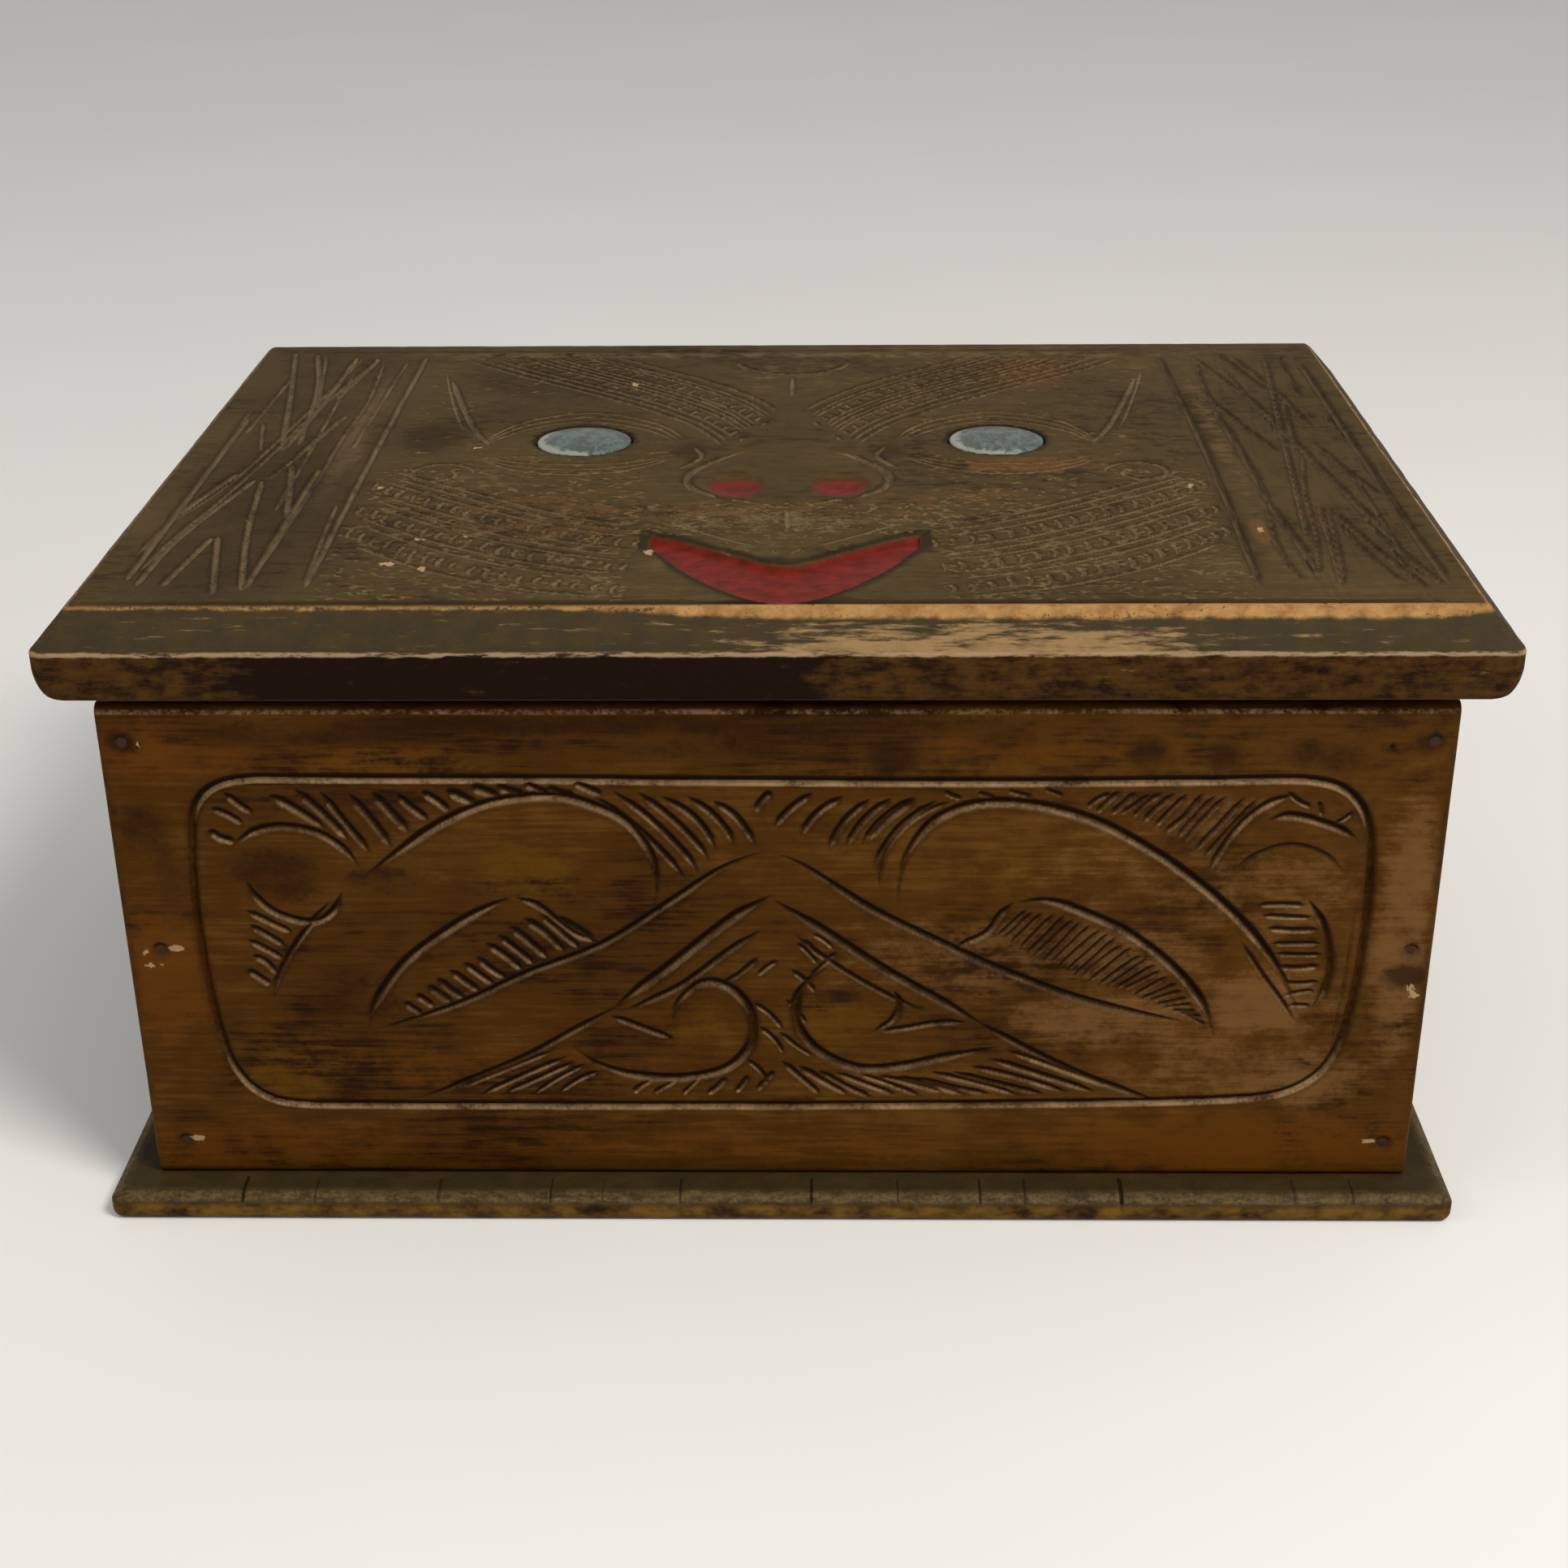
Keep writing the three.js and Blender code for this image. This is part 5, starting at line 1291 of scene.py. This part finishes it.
def fastener(low, high, facing, head, slotted, seed):
    """A nail or a screw with its head outwards: turned about Z, then faced along its board's normal.
    A slot is pressed into the rings of the dome."""
    reach = abs((high - low) @ np.array(facing))
    shank = head * 0.52
    dome, rings, sides, rough = (0.12, 17, 72, 0.0) if slotted else (0.16, 8, 28, 0.035)
    crown = [(head * share, reach - dome * share ** 2) for share in np.linspace(0, 1, rings)]
    body = [(0, 0), (shank, 2.4), (shank, reach - 1.1), (head, reach - 0.4)]
    points, faces = turned([*body, *crown[::-1]], sides, rough, seed)
    if slotted:
        slot_half, slot_depth = 0.42, 0.35
        across = np.abs(points[:, 0] * math.cos(seed) + points[:, 1] * math.sin(seed))
        pressed = slot_depth * np.clip((slot_half - across) / 0.12 + 0.5, 0, 1)
        points[:, 2] -= np.where(points[:, 2] > reach - 0.3, pressed, 0)
    start = (low + high) / 2 - np.array(facing) * reach / 2
    turn = Vector((0, 0, 1)).rotation_difference(Vector(facing)).to_matrix().to_4x4()
    return placed((points, faces), Matrix.Translation(start) @ turn)


def make_fasteners(name, nodes, facing, head, slotted, seed):
    """Nails or screws that face one way, as one piece."""
    parts = [fastener(*extent(node), facing, head, slotted, seed + item) for item, node in enumerate(nodes)]
    return sharpen(joined(name, parts), angle=40)


# Finishes

def bare_wood(finish, grain):
    """The bare wood inside, with its dark grain."""
    return finish.blend(grain.step(0.3, 0.75) * 0.7, tints().inside, tints().inside_dark)


def between_walls(finish):
    """1 between the side walls and before the back wall, falling to 0 within the first mm of their wood."""
    inner = FRONT_HIGH[0] - WALL
    return finish.x.size().step(inner + 1, inner) * finish.y.step(BACK_LOW[1] + 1, BACK_LOW[1])


def front_finish():
    """Golden brown varnish with level grain, dark, red, golden and faded patches, a painted sheen towards the
    right, painted shade in the cuts, pale dust and a painted highlight on the ledges of the cuts, painted
    shade under their upper edges and along their edges, a rubbed line along the top edge that is partly a
    painted highlight, and bare wood inside."""
    tint, finish = tints(), Finish("front_varnish")
    height = FRONT_HIGH[2] - FRONT_LOW[2]
    up = finish.z - FRONT_LOW[2]
    broad = finish.noise(30, 3, 0.6, (1.9, 1, 1))
    grain = finish.noise(1.3, 5, 0.62, (18, 1, 1), 0.3)
    mottle = finish.noise(5.2, 4, 0.66, (1.7, 1, 1))
    speck = finish.noise(1.0, 3, 0.6)
    ragged = (mottle - 0.5) * 1.5 + (grain - 0.5) * 0.9 + (speck - 0.5) * 0.4
    tone = broad.step(0.34, 0.66) * 0.5 + grain.step(0.32, 0.68) * 0.36 + mottle.step(0.32, 0.62) * 0.2 - 0.06
    finish.base = finish.three(tone, tint.front_dark, tint.front_mid, tint.front_light)
    # A painted sheen: the front grows lighter and more olive towards the right.
    finish.coat((finish.x + 30).step(0, 150) * mottle.step(0.2, 0.7) * 0.45, tint.front_light)
    finish.spotted(
        ragged, ("gold", 0.8, tint.front_gold), ("warm", 0.75, tint.front_red),
        ("pale", 0.65, tint.front_pale), ("stain", 0.8, tint.front_dark),
    )
    # Painted shade: the front is darker in its cuts.
    finish.coat(finish.held("cut").step(0.1, 0.7) * 0.45, tint.front_dark)
    # Pale dust and a painted highlight on the upward-facing ledges of the cuts.
    light = finish.noise(13, 3, 0.6).step(0.35, 0.6) * 0.45 + 0.55
    dust = finish.held("ledge_dust_and_highlight").step(0.15, 0.75) * light * (speck * 0.4 + mottle * 0.7).step(0.3, 0.65)
    finish.coat(dust, tint.front_dust_and_highlight)
    # Painted shade under the cuts' upper edges and along their edges.
    finish.coat(finish.held("under").step(0.1, 0.6) * 0.9, tint.painted_shade)
    finish.coat(finish.held("rim").step(0.1, 0.9) * 0.25, tint.painted_shade)
    # A rubbed, chipped top edge, partly a painted highlight along the edge.
    top_edge_wear_and_highlight = (up - (height - 1.3)).size().step(0.8, 0.2)
    worn = top_edge_wear_and_highlight * (speck * 0.6 + mottle * 0.6).step(0.5, 0.75) * 0.45
    finish.coat(worn.most(finish.chips(speck) * 0.75), tint.chip)
    inner = finish.y.step(FRONT_HIGH[1] - 1.2, FRONT_HIGH[1] - 0.4)
    inner = inner * finish.x.size().step(FRONT_HIGH[0] - 8, FRONT_HIGH[0] - 10)
    finish.coat(inner, bare_wood(finish, grain))
    roughness = 0.4 + mottle * 0.16 + dust * 0.3 + inner * 0.2
    fine = finish.bump(grain * 0.6 + speck * 0.4, 0.09)
    return finish.done(roughness, fine, {"Specular IOR Level": 0.05})


def lid_finish():
    """Dry grey brown wood with pale dust in its cuts, painted shade along their edges and round the mouth and
    the eyes, stains and warm patches, a painted and scratched bevel that is worn bare along its front, a
    stained edge, worn grey at its foot, and bare wood underneath."""
    tint, finish = tints(), Finish("lid_patina")
    broad = finish.noise(36, 3, 0.6, (1.5, 1, 1))
    grain = finish.noise(1.5, 5, 0.62, (10, 1, 1), 0.3)
    mottle = finish.noise(4.4, 4, 0.68, (1.3, 1, 1))
    speck = finish.noise(0.9, 3, 0.62)
    scuffs = finish.noise(2.0, 5, 0.75, (5, 1, 1))
    ragged = (mottle - 0.5) * 1.7 + (grain - 0.5) * 0.8
    red, upper, lower = finish.held("red"), finish.held("upper"), finish.held("lower")
    tone = broad.step(0.3, 0.7) * 0.35 + grain.step(0.3, 0.7) * 0.3 + mottle.step(0.35, 0.68) * 0.35
    finish.base = finish.three(tone, tint.lid_dark, tint.lid_mid, tint.lid_light)
    finish.spotted(
        ragged, ("warm", 0.7, tint.lid_warm), ("pale", 0.6, tint.lid_dust), ("stain", 0.7, tint.lid_dark)
    )
    dust = finish.held("cut").step(0.15, 0.8) * (broad * 0.5 + mottle * 0.6).step(0.25, 0.6)
    finish.coat(dust * 0.92, tint.lid_dust)
    # Painted shade along the cuts' edges, round the mouth and round the eyes' wells.
    finish.coat(finish.held("rim").step(0.1, 0.9) * 0.7, tint.painted_shade)
    finish.coat(finish.chips(speck) * 0.9, tint.chip)

    # bevel
    front = finish.y.step(LID_LOW[1] + 9, LID_LOW[1] + 7)
    region = finish.x.step(-34, 24) * finish.x.step(112, 74) * front
    streaks = finish.noise(1.1, 5, 0.7, (9, 1, 1))
    bevel = finish.blend(mottle.step(0.3, 0.75) * 0.7, tint.lid_paint, tint.lid_mid)
    lower_half = upper.step(1, 9) * 0.26 + lower.step(-2.5, 0) * 0.05
    scratched = (streaks - 0.03 + region * lower_half).step(0.56, 0.74)
    bevel = finish.blend(scratched * (mottle.step(0.25, 0.6) * 0.4 + 0.5), bevel, tint.bevel_worn)
    finish.coat(upper.step(0.1, 0.6), bevel)

    # upright edge
    dark = finish.x.step(-132, -106) * finish.x.step(22, -8)
    rubbed = (mottle * 0.5 + scuffs * 0.5 - dark * 0.2).step(0.36, 0.62)
    side = finish.blend(rubbed * 0.9, tint.lid_edge, tint.lid_edge_worn)
    side = finish.blend((scuffs + finish.x * 0.0003).step(0.66, 0.76) * 0.45, side, tint.bevel_worn)
    finish.coat(lower.step(-0.3, 0.4), side)

    # worn arrises above and below the edge
    wide = 0.1 + finish.x.step(-60, 10) * finish.x.step(166, 145) * 1.5 * front
    line = (upper - wide * 0.5 - 0.2 - (mottle - 0.5) * 1.8).size() - wide
    broken = (scuffs * 0.5 + speck * 0.5 + finish.x.step(-70, 0) * 0.06 + 0.05).step(0.45, 0.56)
    worn = line.step(0.9, -0.4) * broken
    low_line = (lower - (mottle - 0.5) * 1.1).size().step(0.75, 0.2) * scuffs.step(0.36, 0.5)
    wood = finish.blend(mottle.step(0.3, 0.7), tint.bare_dull, tint.bare)
    finish.coat(worn * 0.9, wood)
    finish.coat(low_line * 0.85, tint.bare_grey)

    # mouth, nostrils and underside
    paint = (red + (mottle - 0.5) * 0.3).step(0.15, 0.6) * (1 - speck.step(0.66, 0.72) * 0.6)
    finish.coat(paint * 0.95, finish.blend(mottle.step(0.3, 0.7), tint.red, tint.red_dark))
    under = finish.z.step(LID_LOW[2] + 0.4, LID_LOW[2] + 0.1)
    finish.coat(under, bare_wood(finish, grain))
    roughness = 0.58 + mottle * 0.16 - paint * 0.2
    fine = finish.bump(grain * 0.5 + speck * 0.5, 0.12)
    return finish.done(roughness, fine, {"Specular IOR Level": 0.07})


def base_finish():
    """Green black top, a rubbed grey edge and a brown side, painted shade in the notches, bare inside the
    box.
    """
    tint, finish = tints(), Finish("base_paint")
    mottle = finish.noise(5.5, 4, 0.66, (1.6, 1, 1))
    scuffs = finish.noise(1.9, 5, 0.72, (2.4, 1, 1))
    speck = finish.noise(0.9, 3, 0.6)
    rubbed, nick = finish.held("rubbed"), finish.held("nick")
    side = finish.blend(mottle.step(0.3, 0.7), tint.front_dark, tint.base_side)
    top = finish.blend(mottle.step(0.35, 0.8) * 0.5, tint.base_top, tint.lid_mid)
    upper = (finish.z - BASE_LOW[2]).step(3.6, 5.4)
    finish.base = finish.blend(upper, side, top)
    finish.coat(rubbed * (scuffs * 0.7 + speck * 0.4).step(0.4, 0.75), tint.base_edge)
    finish.coat(rubbed * scuffs.step(0.68, 0.74) * 0.8, tint.bare)
    # Painted shade in the knife notches.
    finish.coat(nick.step(0.1, 0.6) * 0.85, tint.painted_shade)
    within = between_walls(finish) * finish.y.step(FRONT_HIGH[1] - 1, FRONT_HIGH[1]) * upper
    finish.coat(within, finish.blend(mottle, tint.inside, tint.inside_dark))
    fine = finish.bump(scuffs * 0.6 + speck * 0.4, 0.12)
    return finish.done(0.5 + mottle * 0.15, fine, {"Specular IOR Level": 0.08})


def wall_finish():
    """Stained and varnished wood outside, bare wood inside."""
    tint, finish = tints(), Finish("wall_stain")
    broad = finish.noise(36, 3, 0.6, (1.7, 1.7, 1))
    grain = finish.noise(1.8, 5, 0.62, (15, 15, 1), 0.3)
    speck = finish.noise(1.1, 3, 0.6)
    tone = broad.step(0.3, 0.72) * 0.5 + grain.step(0.3, 0.7) * 0.45
    stained = finish.three(tone, tint.front_dark, tint.wall, tint.front_light)
    within = between_walls(finish)
    finish.base = finish.blend(within, stained, bare_wood(finish, grain))
    fine = finish.bump(grain * 0.6 + speck * 0.4, 0.1)
    return finish.done(0.44 + broad * 0.15 + within * 0.22, fine, {"Specular IOR Level": 0.12})


def shell_finish():
    """Mottled grey blue shell with brown depths, milky bands and a pale rim that is widest at the lower
    left, partly a painted highlight, and darker along its far rim with grime and painted shade."""
    tint, finish = tints(), Finish("shell")
    clouds = finish.noise(3.4, 4, 0.62, (1, 1.5, 1), 1.0)
    bands = finish.noise(1.8, 4, 0.62, (0.8, 2.0, 1), 1.6)
    speck = finish.noise(0.7, 3, 0.6)
    tone = clouds.step(0.42, 0.58) * 0.55 + bands.step(0.35, 0.65) * 0.3 + speck.step(0.35, 0.65) * 0.15
    # Grime and painted shade along the far rim.
    tone = tone - finish.held("dirt") * 0.6
    finish.base = finish.blend(tone, tint.shell_dark, tint.shell)
    # Milky bands, and the pale rim widest at the lower left as a painted highlight.
    milky_and_highlight = (finish.held("rim") + (clouds - 0.5) * 1.2 + (bands - 0.5) * 0.6).step(0.5, 0.95)
    finish.coat(milky_and_highlight * 0.75, tint.shell_light)
    fine = finish.bump(clouds + bands * 0.3, 0.1)
    return finish.done(0.26 + clouds * 0.14, fine, {"Specular IOR Level": 0.2, "Coat Weight": 0.05})


def brass_finish():
    """Dull brass, darker in patches."""
    tint, finish = tints(), Finish("old_brass")
    tarnish = finish.noise(4, 4, 0.65)
    finish.base = finish.blend(tarnish.step(0.35, 0.7) * 0.75, tint.brass, tint.brass_dark)
    fine = finish.bump(finish.noise(0.5, 3), 0.03)
    return finish.done(0.34 + tarnish * 0.25, fine, {"Metallic": 1.0})


def iron_finish():
    """Dark iron with brown rust."""
    tint, finish = tints(), Finish("dark_iron")
    rust = finish.noise(1.4, 4, 0.7)
    finish.base = finish.blend(rust.step(0.4, 0.62), tint.iron, tint.rust)
    return finish.done(0.55 + rust * 0.2, finish.bump(rust, 0.08), {"Metallic": 0.6})


def floor_finish():
    """A plain pale floor."""
    stage, finish = bpy.context.scene.carved_box_stage, Finish("pale_floor")
    cloud = finish.noise(220, 2, 0.5)
    finish.base = finish.blend(cloud.step(0.3, 0.7) * 0.15, stage.floor, stage.floor_cloud)
    return finish.done(0.85)


# Stage

def add_lamp(name, place, target, power, size, tint):
    lamp = bpy.data.lights.new(name, "AREA")
    lamp.shape = "DISK"
    lamp.size = size
    lamp.energy = power
    lamp.color = tint
    holder = bpy.data.objects.new(name, lamp)
    holder.location = place
    holder.rotation_euler = (Vector(target) - Vector(place)).to_track_quat("-Z", "Y").to_euler()
    bpy.context.scene.collection.objects.link(holder)


def add_camera(lens):
    """The camera: it stands in front of the box and a little to the right, and looks down at it."""
    turn, tilt, roll = math.radians(1.124), math.radians(25.513), math.radians(-0.505)
    camera = bpy.data.cameras.new("camera")
    camera.lens = lens
    camera.sensor_width = 36
    camera.clip_start = 0.01
    holder = bpy.data.objects.new("camera", camera)
    place = Matrix.Translation((0.01158, -0.59524, 0.34488))
    pose = Matrix.Rotation(turn, 4, "Z") @ Matrix.Rotation(math.pi / 2 - tilt, 4, "X")
    holder.matrix_world = place @ pose @ Matrix.Rotation(roll, 4, "Z")
    bpy.context.scene.collection.objects.link(holder)
    bpy.context.scene.camera = holder


def add_sky(strength):
    world = bpy.data.worlds.new("sky")
    world.use_nodes = True
    background = world.node_tree.nodes["Background"]
    background.inputs["Color"].default_value = (1.0, 0.985, 0.96, 1.0)
    background.inputs["Strength"].default_value = strength
    bpy.context.scene.world = world


def add_floor():
    """A round floor: a disc with two rings about it."""
    sides, radii = 96, (300, 1200, 5000)
    angles = np.linspace(0, 2 * np.pi, sides, endpoint=False)
    circle = np.stack([np.cos(angles), np.sin(angles), np.zeros(sides)], -1)
    points = np.concatenate([radius * circle for radius in radii])
    loops = np.arange(len(points)).reshape(len(radii), sides)
    faces = [loops[:1], *(ring_faces(outer, inner) for inner, outer in zip(loops[:-1], loops[1:]))]
    floor = build("floor", points, faces)
    floor.data.materials.append(floor_finish())


# Operators

class MakeStage(bpy.types.Operator):
    """Makes the floor, the sky, the lamps and the camera."""

    bl_idname = "carved_box.stage"
    bl_label = "Stage"

    def execute(self, context):
        stage = context.scene.carved_box_stage
        add_floor()
        add_sky(stage.world)
        add_lamp("key_lamp", (0.75, -0.75, 1.4), (0, 0, 0.05), stage.key, 0.6, (1.0, 0.965, 0.9))
        add_lamp("fill_lamp", (-1.3, -0.5, 0.9), (0, 0, 0.08), stage.fill, 1.2, (0.93, 0.97, 1.0))
        add_camera(stage.lens)
        context.scene.view_settings.view_transform = "Standard"
        return {"FINISHED"}


class MakeFront(bpy.types.Operator):
    """Makes the carved front board."""

    bl_idname = "carved_box.front"
    bl_label = "Front board"

    def execute(self, context):
        dress(make_front_board(), "box", "front_wood", front_finish(), "front_board")
        return {"FINISHED"}


class MakeLid(bpy.types.Operator):
    """Makes the carved lid."""

    bl_idname = "carved_box.lid"
    bl_label = "Lid"

    def execute(self, context):
        dress(make_lid_board(), "lid", "lid_wood", lid_finish(), "lid_board")
        return {"FINISHED"}


class MakeEyes(bpy.types.Operator):
    """Makes the two shell eyes."""

    bl_idname = "carved_box.eyes"
    bl_label = "Shell eyes"

    def execute(self, context):
        finish = shell_finish()
        for node in EYES:
            dress(make_eye(f"{node}_shell", node), "lid", "shell", finish, node)
        return {"FINISHED"}


class MakeBase(bpy.types.Operator):
    """Makes the notched base."""

    bl_idname = "carved_box.base"
    bl_label = "Base"

    def execute(self, context):
        dress(make_base(), "box", "base_wood", base_finish(), "base_plate")
        return {"FINISHED"}


class MakeWalls(bpy.types.Operator):
    """Makes the two sides and the back."""

    bl_idname = "carved_box.walls"
    bl_label = "Walls"

    def execute(self, context):
        finish = wall_finish()
        nails = nail_places("back_nail", 6, BACK_LOW[2], -1)
        for node, normal, places in (
            ("left_side_board", (-1, 0, 0), ()), ("right_side_board", (1, 0, 0), ()),
            ("back_board", (0, 1, 0), nails),
        ):
            piece = make_plain_board(f"{node}_planed", node, normal, places)
            dress(piece, "box", "wall_wood", finish, node)
        return {"FINISHED"}


class MakeHinges(bpy.types.Operator):
    """Makes the leaves, pins and screws of the two hinges."""

    bl_idname = "carved_box.hinges"
    bl_label = "Hinges"

    def execute(self, context):
        finish = brass_finish()
        for hinge in ("hinge_left", "hinge_right"):
            pin = f"{hinge}_pin"
            dress(make_hinge_pin(f"{pin}_brass", pin), "box", "brass", finish, pin)
            for body, side, knuckles in (("box", 1, (0, 2)), ("lid", -1, (1,))):
                node = f"{hinge}_{body}_leaf"
                dress(make_leaf(f"{node}_brass", node, pin, side, knuckles), body, "brass", finish, node)
                screws = numbered(f"{hinge}_{body}_screw", 2)
                name, seed = f"{hinge}_{body}_screws", len(node) + side
                piece = make_fasteners(name, screws, (0, 0, side), SCREW_HEAD, True, seed)
                dress(piece, body, "brass", finish, *screws)
        return {"FINISHED"}


class MakeNails(bpy.types.Operator):
    """Makes the nails of the front, the back and the base."""

    bl_idname = "carved_box.nails"
    bl_label = "Nails"

    def execute(self, context):
        finish = iron_finish()
        groups = (("front_nail", 6, (0, -1, 0)), ("back_nail", 6, (0, 1, 0)), ("base_nail", 8, (0, 0, -1)))
        for order, (kind, count, facing) in enumerate(groups):
            nodes = numbered(kind, count)
            piece = make_fasteners(f"{kind}s_iron", nodes, facing, NAIL_HEAD, False, 40 + 10 * order)
            dress(piece, "box", "iron", finish, *nodes)
        return {"FINISHED"}


SETTINGS = {"carved_box_sizes": BoxSizes, "carved_box_colours": BoxColours, "carved_box_stage": StageSettings}
OPERATORS = (MakeStage, MakeFront, MakeLid, MakeEyes, MakeBase, MakeWalls, MakeHinges, MakeNails)


class BoxPanel(bpy.types.Panel):
    """Lists the pieces of the box and its settings."""

    bl_idname = "VIEW3D_PT_carved_box"
    bl_label = "Carved Box"
    bl_space_type = "VIEW_3D"
    bl_region_type = "UI"
    bl_category = "Carved Box"

    def draw(self, context):
        for operator in OPERATORS:
            self.layout.operator(operator.bl_idname)
        for name, kind in SETTINGS.items():
            for key in kind.__annotations__:
                self.layout.prop(getattr(context.scene, name), key)


def register():
    for kind in (*SETTINGS.values(), *OPERATORS, BoxPanel):
        bpy.utils.register_class(kind)
    for name, kind in SETTINGS.items():
        setattr(bpy.types.Scene, name, PointerProperty(type=kind))


def unregister():
    for name in SETTINGS:
        delattr(bpy.types.Scene, name)
    for kind in reversed((*SETTINGS.values(), *OPERATORS, BoxPanel)):
        bpy.utils.unregister_class(kind)


def main():
    register()
    for operator in OPERATORS:
        group, name = operator.bl_idname.split(".")
        getattr(getattr(bpy.ops, group), name)()
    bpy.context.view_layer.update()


if __name__ == "__main__":
    main()
